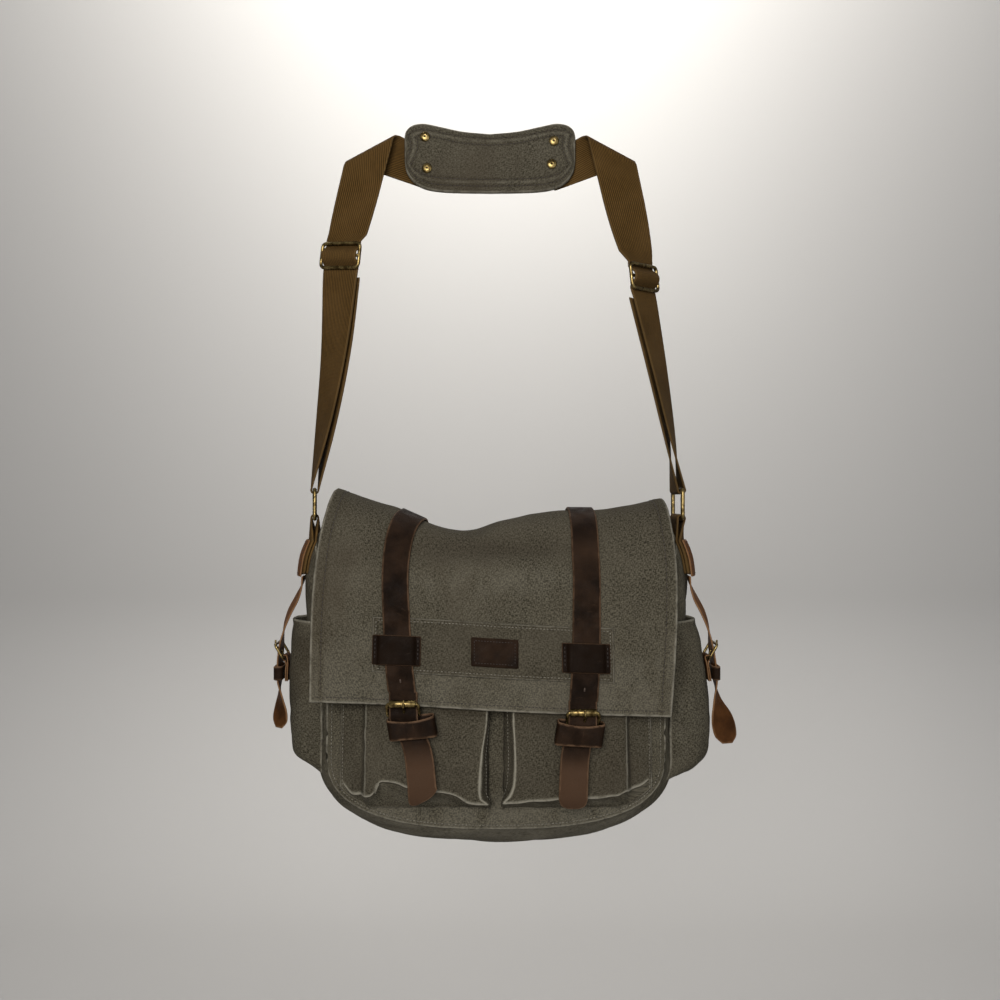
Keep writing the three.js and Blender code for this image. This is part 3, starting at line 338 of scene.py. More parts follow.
def seam_bottom(x):
    """Lower outline of the panels."""
    inside = np.maximum(1 - np.abs(np.asarray(x) / BODY_HALF_WIDTH) ** BASE_POWER, 0)
    return SEAM_CORNER - BASE_DEPTH * inside ** (1 / BASE_POWER)


def side_outline(z):
    """Half width of the panels' outline at a height."""
    below = np.clip((SEAM_CORNER - np.asarray(z, float)) / BASE_DEPTH, 0, 1)
    return BODY_HALF_WIDTH * (1 - below**BASE_POWER) ** (1 / BASE_POWER)


def front_face(x, z):
    """Depth of the front panel's outer face."""
    t = (BODY_TOP - z) / (BODY_TOP - SEAM_CORNER + BASE_DEPTH)
    belly = FRONT["belly"] * (1 - (x / BODY_HALF_WIDTH) ** 2) * np.sin(np.pi * t)
    return FRONT["top"] - FRONT["lean"] * t + FRONT["curve"] * t * t - belly


GUSSET = columns("drop bow", (0, 6), (18, 21), (42, 31), (80, 32), (140, 25), (215, 16), (300, 28))
GUSSET_TOP = -366.0
GUSSET_EDGES = {"back": -374.0, "middle": -366.0, "front": -424.0}
GUSSET_EASE = -440.0  # below this the gusset's rows run level
BOW_POWER = 0.8  # under 1, the gusset's bow is fuller than a sine


def gusset_bow(z):
    return smooth(GUSSET, "bow", GUSSET_TOP - z)


def gusset_side(y, z):
    """Distance of the gusset's side from the middle of the bag."""
    front = front_face(BODY_HALF_WIDTH, z) + CANVAS + GAP
    q = np.clip((y - front) / (BACK - CANVAS - GAP - front), 0, 1)
    return side_outline(z) - WELT + gusset_bow(z) * np.sin(np.pi * q) ** BOW_POWER


# Pockets

# Section across a front pocket, from the seam by the middle of the bag to its outer seam, with sharp folds
POCKET_ACROSS = columns(
    "x out",
    (6.5, 0), (8, 0.5), (10, 0.93), (12, 1.03), (16, 1), (40, 1.03), (64, 1.06), (98, 1.02), (109, 1.02),
    (113, 0.98), (115.5, 0.84), (117.5, 0.52), (119.5, 0.36), (128, 0.2), (139, 0),
)
# Section down a front pocket: its open rim at 0, the fold below its face at 1 and its foot at 2
POCKET_DOWN = columns(
    "down out",
    (0, 10), (0.25, 12), (0.5, 14.5), (0.78, 17), (0.93, 18.6), (1, 18.2), (1.1, 15.5), (1.5, 8), (2, 0),
)
POCKET_FOLD = {
    -1: columns(
        "x z",
        (7, -617), (20, -616), (40, -608), (60, -604), (80, -600.5), (97, -598), (102, -599.5), (106, -607),
        (110, -610.5), (118, -611), (127, -612), (133, -607), (139, -600),
    ),
    1: columns(
        "x z",
        (7, -616.5), (40, -614), (80, -611), (105, -609.5), (114, -606), (118, -607.5), (126, -605.5),
        (139, -598),
    ),
}
# How far the fold beside the middle of the bag is moved out, by depth below the rim
POCKET_FLARE = {
    -1: columns("down shift", (0, -4), (0.56, -3.4), (0.75, 1), (0.9, 3), (0.97, 1.5), (1, -4), (2, -4)),
    1: columns("down shift", (0, 3), (0.56, 4), (0.8, 5.5), (0.9, 4.5), (0.96, 1), (1, -4.5), (2, -4.5)),
}
POCKET_RIM = -455.0
POCKET_FOOT = -625.0
FOOT_MARGIN = 7.0
FOLD_ROOM = 3.0  # kept clear above and below the pockets' folds


def pocket_fold(x):
    """Height of the lower edge of the pockets' faces."""
    left = smooth(POCKET_FOLD[-1], "z", np.abs(x))
    right = smooth(POCKET_FOLD[1], "z", np.abs(x))
    return np.where(np.asarray(x) < 0, left, right)


def pocket_foot(x):
    """Height of the pockets' feet, which rise towards the rounded corners of the panel."""
    foot = np.maximum(POCKET_FOOT, seam_bottom(x) + FOOT_MARGIN)
    return np.minimum(foot, pocket_fold(x) - FOLD_ROOM)


def pocket_face(x, z):
    """Depth of the front pockets' outer face."""
    fold = pocket_fold(x)
    above = (POCKET_RIM - z) / (POCKET_RIM - fold)
    below = 1 + (fold - z) / (fold - pocket_foot(x))
    down = np.where(z > fold, above, below)
    across = smooth(POCKET_ACROSS, "out", np.abs(x))
    return front_face(x, z) - CANVAS - GAP - across * smooth(POCKET_DOWN, "out", down)


def tail_rest(x, z):
    """Depth of the pocket's face for a strap that hangs straight down past its fold."""
    return pocket_face(x, np.maximum(z, pocket_fold(x) + FOLD_ROOM))


SIDE_ACROSS = columns(
    "y out",
    (-33, 0), (-29, 0.32), (-23, 0.68), (-13, 0.93), (0, 1), (14, 0.96), (27, 0.72), (34, 0.3), (38, 0),
)
SIDE_DOWN = {
    -1: columns(
        "z out",
        (-603, 0), (-598, 9), (-590, 22), (-575, 26.6), (-545, 24), (-500, 16.7), (-482, 14), (-464, 11),
    ),
    1: columns(
        "z out",
        (-609, 0), (-603, 19), (-594, 30), (-576, 33), (-545, 29.9), (-500, 18), (-482, 13), (-464, 6.5),
    ),
}


def side_pocket_face(sign, y, z):
    """Distance of a side pocket's outer face from the middle of the bag."""
    out = smooth(SIDE_ACROSS, "out", y) * smooth(SIDE_DOWN[sign], "out", z)
    return gusset_side(y, z) + CANVAS + 1.5 * SEAM_GAP + out


# Materials

class Finish:
    """A node material built step by step round one principled shader."""

    def __init__(self, name, roughness=0.5, specular=0.5, metallic=0.0):
        self.material = bpy.data.materials.new(name)
        self.material.use_nodes = True
        self.tree = self.material.node_tree
        self.shader = self.tree.nodes["Principled BSDF"]
        constants = {"Roughness": roughness, "Specular IOR Level": specular, "Metallic": metallic}
        for socket, value in constants.items():
            self.shader.inputs[socket].default_value = value
        self.space = self.node("TexCoord").outputs["Object"]
        self.colour = None

    def node(self, kind, inputs=None, **settings):
        node = self.tree.nodes.new("ShaderNode" + kind)
        for key, value in settings.items():
            setattr(node, key, value)
        for key, value in (inputs or {}).items():
            if isinstance(value, bpy.types.NodeSocket):
                self.tree.links.new(value, node.inputs[key])
            else:
                node.inputs[key].default_value = value
        return node

    def value(self, name):
        return self.node("Attribute", attribute_name=name).outputs["Fac"]

    def cloth(self, scale_u, scale_v):
        """Place on the cloth, in metres, scaled along and across."""
        place = self.node("UVMap", uv_map="cloth").outputs["UV"]
        return self.node("Mapping", {"Vector": place, "Scale": (scale_u, scale_v, 1)}).outputs["Vector"]

    def noise(self, vector, scale, detail=2.0, rough=0.5):
        settings = {"Vector": vector, "Scale": scale, "Detail": detail, "Roughness": rough}
        return self.node("TexNoise", settings).outputs["Fac"]

    def math(self, operation, a, b):
        return self.node("Math", {0: a, 1: b}, operation=operation).outputs[0]

    def times(self, a, b):
        return self.math("MULTIPLY", a, b)

    def fit(self, value, low, high, to_low=0.0, to_high=1.0):
        settings = {"Value": value, "From Min": low, "From Max": high, "To Min": to_low, "To Max": to_high}
        return self.node("MapRange", settings, interpolation_type="SMOOTHSTEP").outputs["Result"]

    def patches(self, scale, detail, low, high, to_low=0.0, to_high=1.0, rough=0.5):
        """Noise in space, spread from a low to a high value."""
        return self.fit(self.noise(self.space, scale, detail, rough), low, high, to_low, to_high)

    def shade(self, sign):
        """How far the piece's shade is above 0, or below it with a sign of -1."""
        return self.math("MAXIMUM", self.times(self.value("shade"), sign), 0.0)

    def near_edge(self, low, high):
        """1 within a low distance of an edge, in millimetres, and 0 beyond a high one."""
        return self.fit(self.value("border"), low, high, 1, 0)

    def blend(self, share, a, b, how="MIX"):
        node = self.node("MixRGB", {"Fac": share, "Color1": a, "Color2": b}, blend_type=how)
        return node.outputs["Color"]

    def cover(self, share, colour, strength=1.0):
        """Lays another colour over the colour so far."""
        self.colour = self.blend(self.times(share, strength), self.colour, colour)

    def wave(self, vector, period, direction):
        """Bands of a period in metres along X or Y of the cloth."""
        settings = {"Vector": vector, "Scale": 2 * math.pi / (20 * period), "Detail": 0.0}
        return self.node("TexWave", settings, bands_direction=direction).outputs["Fac"]

    def relief(self, height, strength, distance):
        node = self.node("Bump", {"Height": height, "Strength": strength, "Distance": distance})
        self.set("Normal", node.outputs["Normal"])

    def set(self, socket, source):
        self.tree.links.new(source, self.shader.inputs[socket])

    def done(self):
        self.set("Base Color", self.colour)
        return self.material


def canvas_finish():
    """Washed grey-brown canvas: a fine plain weave, slubs, faded patches and worn edges."""
    f = Finish("washed_canvas", roughness=0.95, specular=0.08)
    plain = f.cloth(1, 1)
    over, under = (f.fit(f.wave(plain, 0.00105, axis), 0, 1, -1, 1) for axis in "XY")
    weave = f.times(over, under)
    warp, weft = (f.noise(f.cloth(*scales), 1.0, 0) for scales in ((1500, 420), (420, 1500)))
    threads = f.math("ADD", f.times(warp, 0.5), f.times(weft, 0.5))
    f.colour = f.blend(f.fit(threads, 0.33, 0.67), (0.0145, 0.0127, 0.0082, 1), (0.075, 0.066, 0.0465, 1))
    paler_tone = f.patches(18.0, 4, 0.38, 0.7, rough=0.6)
    f.cover(paler_tone, (0.076, 0.066, 0.048, 1), 0.3)
    darker_tone = f.patches(8.0, 3, 0.5, 0.75, rough=0.55)
    f.cover(darker_tone, (0.034, 0.0262, 0.0166, 1), 0.5)
    crossing = f.fit(weave, -1, 1, 0.84, 1.12)
    f.colour = f.blend(1.0, f.colour, crossing, "MULTIPLY")
    patchy = f.patches(140.0, 3, 0.3, 0.65, 0.25, 1)
    worn = f.times(f.near_edge(0.2, 1.5), patchy)
    f.cover(worn, (0.18, 0.166, 0.132, 1), 0.6)
    # Positive shade pales the cloth: real wear on edges and folds, and painted light that callers put on
    # cloth facing the light.
    rubbed = f.times(f.shade(1), f.fit(patchy, 0.2, 0.7, 0.55, 1))
    f.cover(rubbed, (0.19, 0.176, 0.141, 1))
    # Negative shade darkens the cloth: darker pieces of cloth, and painted shade and shadow that callers put
    # in hollows, grooves and under the flap.
    darkened = f.shade(-1)
    f.cover(darkened, (0.013, 0.0092, 0.0055, 1))
    f.relief(weave, 0.3, 0.0004)
    return f.done()


def leather_finish(name, dark, light, warm, raw):
    """Oiled leather: a fine grain, darker and lighter patches, creases and a pale cut edge."""
    f = Finish(name, specular=0.03)
    f.colour = f.blend(f.patches(38.0, 4, 0.3, 0.7, rough=0.6), dark, light)
    # Positive shade warms the colour: the leather's own warmer tone, and a painted sheen where a caller adds
    # one.
    f.cover(f.shade(1), warm)
    f.cover(f.shade(-1), dark)
    scuffs = f.fit(f.noise(f.cloth(40, 220), 1.0, 5, 0.7), 0.6, 0.78)
    f.cover(scuffs, raw, 0.12)
    worn = f.times(f.near_edge(0.0, 1.6), f.patches(160.0, 3, 0.35, 0.6, 0.2, 1))
    f.cover(worn, raw, 0.4)
    f.cover(f.value("rim"), raw, 0.8)
    f.set("Roughness", f.patches(90.0, 3, 0.3, 0.7, 0.42, 0.66))
    grain = f.node("TexVoronoi", {"Vector": f.space, "Scale": 1100.0}, feature="DISTANCE_TO_EDGE")
    pores = f.fit(grain.outputs["Distance"], 0.0, 0.25)
    creases = f.noise(f.cloth(30, 260), 1.0, 4, 0.6)
    f.relief(f.math("ADD", f.times(pores, 0.35), creases), 0.5, 0.0005)
    return f.done()


def webbing_finish():
    """Olive-brown cotton webbing: ribs along it, a fine weft, and fuzzy worn edges."""
    f = Finish("cotton_webbing", roughness=0.9, specular=0.1)
    plain = f.cloth(1, 1)
    ribs, weft = f.wave(plain, 0.0019, "X"), f.wave(plain, 0.0013, "Y")
    fibre = f.noise(f.cloth(1400, 120), 1.0, 3)
    tone = f.times(f.math("ADD", ribs, fibre), 0.5)
    f.colour = f.blend(f.fit(tone, 0.25, 0.85), (0.0175, 0.0088, 0.0016, 1), (0.079, 0.042, 0.0098, 1))
    paler_tone = f.patches(22.0, 3, 0.35, 0.7)
    f.cover(paler_tone, (0.086, 0.048, 0.0155, 1), 0.3)
    fuzzy = f.near_edge(0.0, 1.4)
    f.cover(fuzzy, (0.11, 0.066, 0.024, 1), 0.35)
    f.relief(f.math("ADD", ribs, f.times(weft, 0.5)), 0.6, 0.0005)
    return f.done()


def brass_finish():
    """Antique brass: bright where rubbed, brown where it has tarnished."""
    f = Finish("antique_brass", metallic=1.0)
    rubbed = f.patches(210.0, 4, 0.35, 0.65, rough=0.6)
    f.colour = f.blend(rubbed, (0.055, 0.036, 0.012, 1), (0.24, 0.175, 0.07, 1))
    f.set("Roughness", f.patches(330.0, 3, 0.3, 0.7, 0.24, 0.46))
    f.relief(f.noise(f.space, 900.0, 2), 0.12, 0.0003)
    return f.done()


def thread_finish(name, colour, pale):
    """Twisted sewing thread."""
    f = Finish(name, roughness=0.8)
    f.colour = f.blend(f.patches(500.0, 2, 0.3, 0.7), colour, pale)
    f.relief(f.noise(f.space, 2600.0, 1), 0.3, 0.0002)
    return f.done()


FINISHES = {
    "canvas": canvas_finish(),
    "dark_leather": leather_finish(
        "dark_leather",
        dark=(0.0042, 0.0021, 0.001, 1),
        light=(0.0155, 0.0082, 0.0045, 1),
        warm=(0.047, 0.026, 0.015, 1),
        raw=(0.17, 0.10, 0.058, 1),
    ),
    "tan_leather": leather_finish(
        "tan_leather",
        dark=(0.022, 0.0085, 0.0025, 1),
        light=(0.056, 0.0225, 0.007, 1),
        warm=(0.095, 0.039, 0.0135, 1),
        raw=(0.18, 0.1, 0.05, 1),
    ),
    "webbing": webbing_finish(),
    "brass": brass_finish(),
}
PALE_THREAD = thread_finish("pale_thread", (0.055, 0.049, 0.037, 1), (0.15, 0.137, 0.108, 1))
HOLE_EDGE = thread_finish("hole_edge", (0.02, 0.011, 0.006, 1), (0.045, 0.027, 0.016, 1))
DARK_THREAD = thread_finish("dark_thread", (0.006, 0.004, 0.003, 1), (0.022, 0.014, 0.01, 1))


# Pieces of the bag in the frame

def place(obj, slot, *nodes):
    """Rides a piece on the bag and lets it stand for nodes of the frame."""
    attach(obj, "root")
    if nodes:
        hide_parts(*nodes)
    return obj


def soft_piece(node, slot, grid, outward, inward=0.0, **looks):
    """A wall of its slot's finish, which stands for a node of the frame."""
    return place(wall("bag_" + node, grid, inward, outward, FINISHES[slot], **looks), slot, node)


def canvas_piece(node, grid, shade, held, *rests_on):
    """Canvas whose outer face is the grid."""
    soft_piece(node, "canvas", grid, 0.0, CANVAS, shade=shade)


# Stitches, as many small threads in one mesh

STITCH_SIDES = 6
STITCH_RINGS = columns("reach thick", (-0.5, 0), (-0.34, 0.85), (0, 1), (0.34, 0.85), (0.5, 0))
ALL_ROUND = ("top", "bottom", "left", "right")
THREAD_LIFT = 0.1  # of the middle of a thread above the cloth


def line_frames(points, out, pitch):
    """Places, directions and normals at even steps along a line on a surface."""
    reach = lengths(points, 0)
    places = np.arange(pitch / 2, reach[-1] - pitch / 3, pitch)
    ahead, behind = (read_line(points, reach, places + shift) for shift in (0.4, -0.4))
    return read_line(points, reach, places), unit(ahead - behind), unit(read_line(out, reach, places))


def stitches(name, lines, finish, slot, pitch=3.1, length=2.3, radius=0.34):
    """One mesh of sewing stitches along lines, each given as points and normals on a surface."""
    frames = [line_frames(points, out, pitch) for points, out in lines]
    at, along, out = (np.concatenate(part) for part in zip(*frames))
    side = np.cross(along, out)
    vertices = []
    for reach, thick in zip(*STITCH_RINGS.values()):
        sunk = out * (0.25 * radius - 1.1 * radius * abs(reach) * 2 * (thick == 0))
        for angle in np.linspace(0, 2 * np.pi, STITCH_SIDES, endpoint=False):
            spoke = side * math.cos(angle) + out * math.sin(angle) * 0.8
            vertices.append(at + along * reach * length + spoke * thick * radius + sunk)
    points = np.stack(vertices, 1)
    index = np.arange(len(vertices)).reshape(-1, STITCH_SIDES)
    starts = np.arange(len(points)) * len(vertices)
    faces = (skin(index[:-1], index[1:])[None] + starts[:, None, None]).reshape(-1, 4)
    place(add_mesh(name, points.reshape(-1, 3), faces.tolist(), finish), slot)


def grid_line(grid, rows, cols, lift):
    """A line through a grid at fractional rows and columns, lifted off its surface."""
    r0 = np.clip(np.floor(rows).astype(int), 0, grid.shape[0] - 2)
    c0 = np.clip(np.floor(cols).astype(int), 0, grid.shape[1] - 2)
    fr, fc = (rows - r0)[:, None], (cols - c0)[:, None]

    def read(values):
        top = mix(values[r0, c0], values[r0, c0 + 1], fc)
        low = mix(values[r0 + 1, c0], values[r0 + 1, c0 + 1], fc)
        return mix(top, low, fr)

    normal = unit(read(grid_normals(grid)))
    return read(grid) + normal * lift, normal


def inset_line(grid, sides, distance, lift):
    """Lines at a distance inside the chosen edges of a grid: top, bottom, left or right."""
    across, along = lengths(grid, 1), lengths(grid, 0)
    lines = []
    for side in sides:
        upright = side in ("left", "right")
        reach, ends = (across, along.mean(1)) if upright else (along.T, across.mean(0))
        goals = reach[:, -1] - distance if side in ("right", "bottom") else np.full(len(reach), distance)
        number = np.arange(reach.shape[1])
        found = np.array([np.interp(goal, line, number) for goal, line in zip(goals, reach)])
        keep = (ends >= distance) & (ends[-1] - ends >= distance)
        order = np.arange(len(reach), dtype=float)[keep]
        rows, cols = (order, found[keep]) if upright else (found[keep], order)
        lines.append(grid_line(grid, rows, cols, lift))
    return lines


# Unevenness of cloth

# Size and depth of the crumples, height of the puckers at the seams, and a layer of noise
CRUMPLES = {
    "flap": (34, 1.2, 0.45, 0),
    "front_panel": (30, 0.8, 0.4, 1),
    "back_panel": (60, 0.7, 0.3, 2),
    "gusset": (30, 1.0, 0.4, 3),
    "front_pocket": (24, 1.1, 0.55, 4),
    "side_pocket": (22, 1.3, 0.5, 5),
    "flap_band": (30, 0.2, 0.25, 0),
}
# Strength of the streaks of painted crease shade and dirt, and a layer of noise
CREASE_SHADE_AND_DIRT = {
    "flap": (0.06, 0),
    "front_panel": (0.1, 1),
    "back_panel": (0.08, 2),
    "gusset": (0.14, 3),
    "front_pocket": (0.12, 4),
    "side_pocket": (0.18, 5),
    "flap_band": (0.08, 6),
    "shoulder_pad": (0.1, 6),
}


def crumple(grid, piece):
    """Cloth that isn't flat: soft waves all over, and small puckers along its sewn edges."""
    size, depth, pucker, layer = CRUMPLES[piece]
    u, v = lengths(grid, 1), lengths(grid, 0)
    waves = ripple(u / size, v / size, layer) + 0.5 * ripple(u / size * 2.3, v / size * 2.3, layer + 1)
    edge = border_distance(grid)
    tucks = ripple(u / 5.5, v / 5.5, layer + 2) * peak(edge, 0, 9)
    return swell(grid, depth * waves * step(0, 10, edge) + pucker * tucks)


def mottle(grid, piece):
    """Lighter and darker streaks along the cloth's length, at random: painted shade of creases, and dirt."""
    strength, layer = CREASE_SHADE_AND_DIRT[piece]
    u, v = lengths(grid, 1), lengths(grid, 0)
    streaks = ripple(u / 13, v / 24, layer) + 0.6 * ripple(u / 5, v / 9, layer + 1)
    return strength * np.where(streaks > 0, 0.35, 1.2) * streaks


# Canvas pieces

FLAP_ROWS, FLAP_COLS = 150, 150
HEM_WIDTH = 9.0  # of the flap's turned sides
HEM_ROW = 4.2  # distance of the stitches from the flap's lower edge
PANEL_ROW = 3.2  # distance of the stitches from the panels' edges
POCKET_ROWS = (137.0, 8.0)  # places of the stitches across a front pocket
BAND_ROW, KEEPER_ROW, PATCH_ROW = 2.5, 1.8, 2.2  # distances of the stitches from other edges
GUSSET_INSET = 1.2  # the gusset is sewn this far inside the panels' edges
BAND = {"left": -108.0, "right": 103.0, "low": 28.0, "high": 74.0, "thick": 1.4}


def even_shares(count):
    """Shares along the flap's profile at even steps of cloth."""
    fine = np.linspace(0, 1, 2000)
    reach = lengths(flap_point(0 * fine, fine), 0)
    return np.interp(np.linspace(0, reach[-1], count), reach, fine)


def make_flap():
    shares = even_shares(FLAP_ROWS)[:, None]
    half = smooth(FLAP, "half", shares)
    x = np.linspace(-1, 1, FLAP_COLS)[None] * half + smooth(FLAP, "middle", shares)
    grid = crumple(flap_point(x, shares), "flap")
    edge = border_distance(grid)
    inside = border_distance(grid, sides_only=True)
    ridge = peak(inside, HEM_WIDTH, 1.6)
    grid = swell(grid, 0.5 * step(HEM_WIDTH + 1, HEM_WIDTH - 1, inside) - 0.35 * ridge)
    # Pale worn edges, and painted shade along the pressed-in stitch line of the turned hem.
    edge_wear_and_groove_shade = 0.3 * peak(edge, 0.4, 0.9) - 0.2 * ridge
    hollow = dents(x, grid[..., 2]) * step(FLAP_CREST, FLAP_CREST + 0.05, shares)
    # Painted shade: the flap darker towards its crest, where it turns away from the light, and darker in its
    # dents.
    darker_tone = 0.2 * step(0.7, FLAP_CREST + 0.04, shares) + 0.05 * np.maximum(hollow, 0)
    # Painted light: the flap lighter towards its hem and on its bulges.
    paler_tone = 0.1 * step(0.7, 1, shares) + 0.022 * np.maximum(-hollow, 0)
    shade = edge_wear_and_groove_shade - darker_tone + paler_tone + mottle(grid, "flap")
    canvas_piece("flap", grid, shade, "draped", "back_panel", "gusset")
    lines = inset_line(grid, ("left", "right"), HEM_WIDTH, THREAD_LIFT)
    lines += inset_line(grid, ("bottom",), HEM_ROW, THREAD_LIFT)
    stitches("flap_stitches", lines, DARK_THREAD, "canvas")


def panel_grid(rows, cols, top, face, turned=False):
    """A panel with the body's lower outline, denser towards its sides."""
    x = BODY_HALF_WIDTH * np.sin(np.linspace(-np.pi / 2, np.pi / 2, cols))[None]
    x = -x if turned else x
    z = mix(top(x), seam_bottom(x), np.linspace(0, 1, rows)[:, None])
    x, z = np.broadcast_arrays(x, z)
    return point(x, face(x, z), z)


def outline(inset):
    """A line just inside the sewn edge of the panels: down one side, along the base and up the other."""
    x = BODY_HALF_WIDTH * np.sin(np.linspace(-np.pi / 2, np.pi / 2, 400))
    z = seam_bottom(x)
    high = np.linspace(-470, SEAM_CORNER, 60)[:-1]
    x = np.concatenate([np.full_like(high, -BODY_HALF_WIDTH), x, np.full_like(high, BODY_HALF_WIDTH)])
    z = np.concatenate([high, z, high[::-1]])
    along = unit(np.stack([np.gradient(x), np.gradient(z)], -1))
    return x - along[:, 1] * inset, z + along[:, 0] * inset


def painted_hem_shadow(grid):
    """Painted shadow of the flap's hem: darker cloth under the flap and in a band just below its hem."""
    return 0.45 * step(-14, 2, grid[..., 2] - hem(grid[..., 0]))


def make_panels():
    front = panel_grid(70, 110, lambda x: np.full_like(x, BODY_TOP), front_face)
    front = crumple(front, "front_panel")
    # Painted light on the lower front panel, and the painted shadow of the flap's hem.
    low = 0.12 * step(-600, -630, front[..., 2])
    shade = low - painted_hem_shadow(front) + mottle(front, "front_panel")
    canvas_piece("front_panel", front, shade, "hung", "gusset")
    back = panel_grid(60, 90, lambda x: crest(x) - BACK_BELOW_CREST, lambda x, z: np.full_like(x, BACK), True)
    back = crumple(back, "back_panel")
    canvas_piece("back_panel", back, mottle(back, "back_panel"), "hung", "gusset")
    x, z = outline(PANEL_ROW)
    forward = np.broadcast_to((0.0, -1.0, 0.0), (len(x), 3))
    lines = [(point(x, front_face(x, z) - 0.3, z), forward), (point(x, BACK + 0.2, z), -forward)]
    stitches("panel_stitches", lines, PALE_THREAD, "canvas")


def gusset_grid(cols=48):
    """The strip that runs down one side, under the base and up the other side, from back to front."""
    inset = BODY_HALF_WIDTH - GUSSET_INSET
    q = np.sin(np.linspace(np.pi / 2, 0, cols)) ** 2
    back, middle, front = GUSSET_EDGES.values()
    top = np.where(q > 0.5, mix(middle, back, (q - 0.5) * 2), mix(front, middle, q * 2))
    belly = np.sin(np.pi * q) ** BOW_POWER

    def side(sign):
        heights = [mix(top, GUSSET_EASE, lift) for lift in np.linspace(0, 1, 26)]
        heights += [np.full_like(q, z) for z in np.linspace(GUSSET_EASE, SEAM_CORNER, 42)[1:]]
        return [(np.full_like(q, sign * inset), z, sign * gusset_bow(z) * belly, 0 * q) for z in heights]

    base = []
    for angle in np.linspace(-np.pi / 2, np.pi / 2, 121)[1:-1]:
        x = inset * math.sin(angle)
        z = seam_bottom(x / inset * BODY_HALF_WIDTH) + GUSSET_INSET
        slope = (seam_bottom(x + 3) - seam_bottom(x - 3)) / 6
        out = unit(np.array([slope, -1.0]))
        bow = mix(gusset_bow(SEAM_CORNER), GUSSET["bow"][-1], math.cos(angle) ** 0.7) * belly
        base.append((np.full_like(q, x), np.full_like(q, z), out[0] * bow, out[1] * bow))
    x, z, move_x, move_z = (np.array(part) for part in zip(*side(-1), *base, *side(1)[::-1]))
    y = mix(front_face(x, z) + CANVAS / 2, BACK - CANVAS / 2, q[None])
    return point(x + move_x, y, z + move_z)


def make_gusset():
    grid = crumple(gusset_grid(), "gusset")
    slack = step(-490, -440, grid[..., 2]) * step(-6, -20, grid[..., 1])
    grid = swell(grid, 1.3 * slack * ripple(lengths(grid, 1) / 11, lengths(grid, 0) / 8, 6))
    # Painted light on the front of the gusset's base, which faces down.
    base = step(-618, -640, grid[..., 2]) * step(10, -40, grid[..., 1])
    shade = 0.2 * base + mottle(grid, "gusset")
    canvas_piece("gusset", grid, shade, "hung", "back_panel", "front_panel")


def close_steps(*spans):
    """Places along spans that follow each other, each given as its start, end and count."""
    parts = [np.linspace(*span)[:-1] for span in spans[:-1]]
    return np.concatenate(parts + [np.linspace(*spans[-1])])


def make_front_pocket(side, sign):
    places = np.sort(sign * close_steps((6.5, 20, 26), (20, 98, 44), (98, 124, 40), (124, 139, 9)))
    down = close_steps((0, 0.86, 62), (0.86, 1.16, 36), (1.16, 2, 20))[:, None]
    fold = pocket_fold(places) + 0.9 * ripple(places / 11, 0, 3)
    z = np.where(down < 1, mix(POCKET_RIM, fold, down), mix(fold, pocket_foot(places), down - 1))
    x = np.broadcast_to(places, z.shape)
    away = np.abs(x)
    out = smooth(POCKET_ACROSS, "out", away) * smooth(POCKET_DOWN, "out", down)
    shift = smooth(POCKET_FLARE[sign], "shift", down) * peak(away, 12, 9) * step(6.5, 9, away)
    grid = point(x + sign * shift, front_face(x, z) - CANVAS - GAP - out, z)
    grid = crumple(grid, "front_pocket")
    inner_fold = peak(away, 11.5, 1.0) * step(0.3, 0.6, down) * step(1.2, 1.02, down)
    lower_fold = peak(down, 1.0, 0.014) * step(9, 12, away) * step(138, 134, away)
    outer_fold = 0.8 * peak(away, 115, 0.9) * step(1.05, 0.95, down)
    worn = np.maximum(np.maximum(inner_fold, lower_fold), outer_fold)
    # Painted shadow beside the outer pleat.
    shadow = peak(away, 118, 1.6) * step(1.1, 1.0, down)
    under = step(1.0, 1.08, down) * step(2.0, 1.7, down)
    # Painted shade over the pocket's face under the flap's overhang, painted light on the strip below its
    # fold, and the painted shadow of the flap's hem.
    plain = 0.05 * under - 0.22 * (1 - under) - 0.16 * shadow - painted_hem_shadow(grid)
    shade = mix(plain + mottle(grid, "front_pocket"), 0.9, worn)
    canvas_piece("front_pocket_" + side, grid, shade, "gathered", "front_panel")
    rows = np.arange(grid.shape[0], dtype=float)
    lines = []
    for row_x in POCKET_ROWS:
        col = np.interp(sign * row_x, places, np.arange(len(places)))
        lines.append(grid_line(grid, rows, np.full_like(rows, col), THREAD_LIFT))
    stitches("front_pocket_stitches_" + side, lines, PALE_THREAD, "canvas")


def make_side_pocket(side, sign):
    ends, heights = SIDE_ACROSS["y"][[0, -1]], SIDE_DOWN[sign]["z"][[-1, 0]]
    y = np.linspace(*ends[::sign], 70)[None]
    y, z = np.broadcast_arrays(y, np.linspace(*heights, 80)[:, None])
    grid = crumple(point(sign * side_pocket_face(sign, y, z), y, z), "side_pocket")
    from_rim = lengths(grid, 0)
    worn = 0.45 * peak(from_rim, 0, 1.5) + 0.3 * peak(from_rim[-1:] - from_rim, 3, 2.5)
    shade = worn - 0.03 + mottle(grid, "side_pocket")
    canvas_piece("side_pocket_" + side, grid, shade, "gathered", "gusset")


def flap_patch(x, height, lift):
    """A grid on the flap from places across it, heights above its hem and how far it is lifted."""
    x, height = np.broadcast_arrays(x[None], height[:, None])
    return on_flap(x, flap_share(x, hem(x) + height), lift)


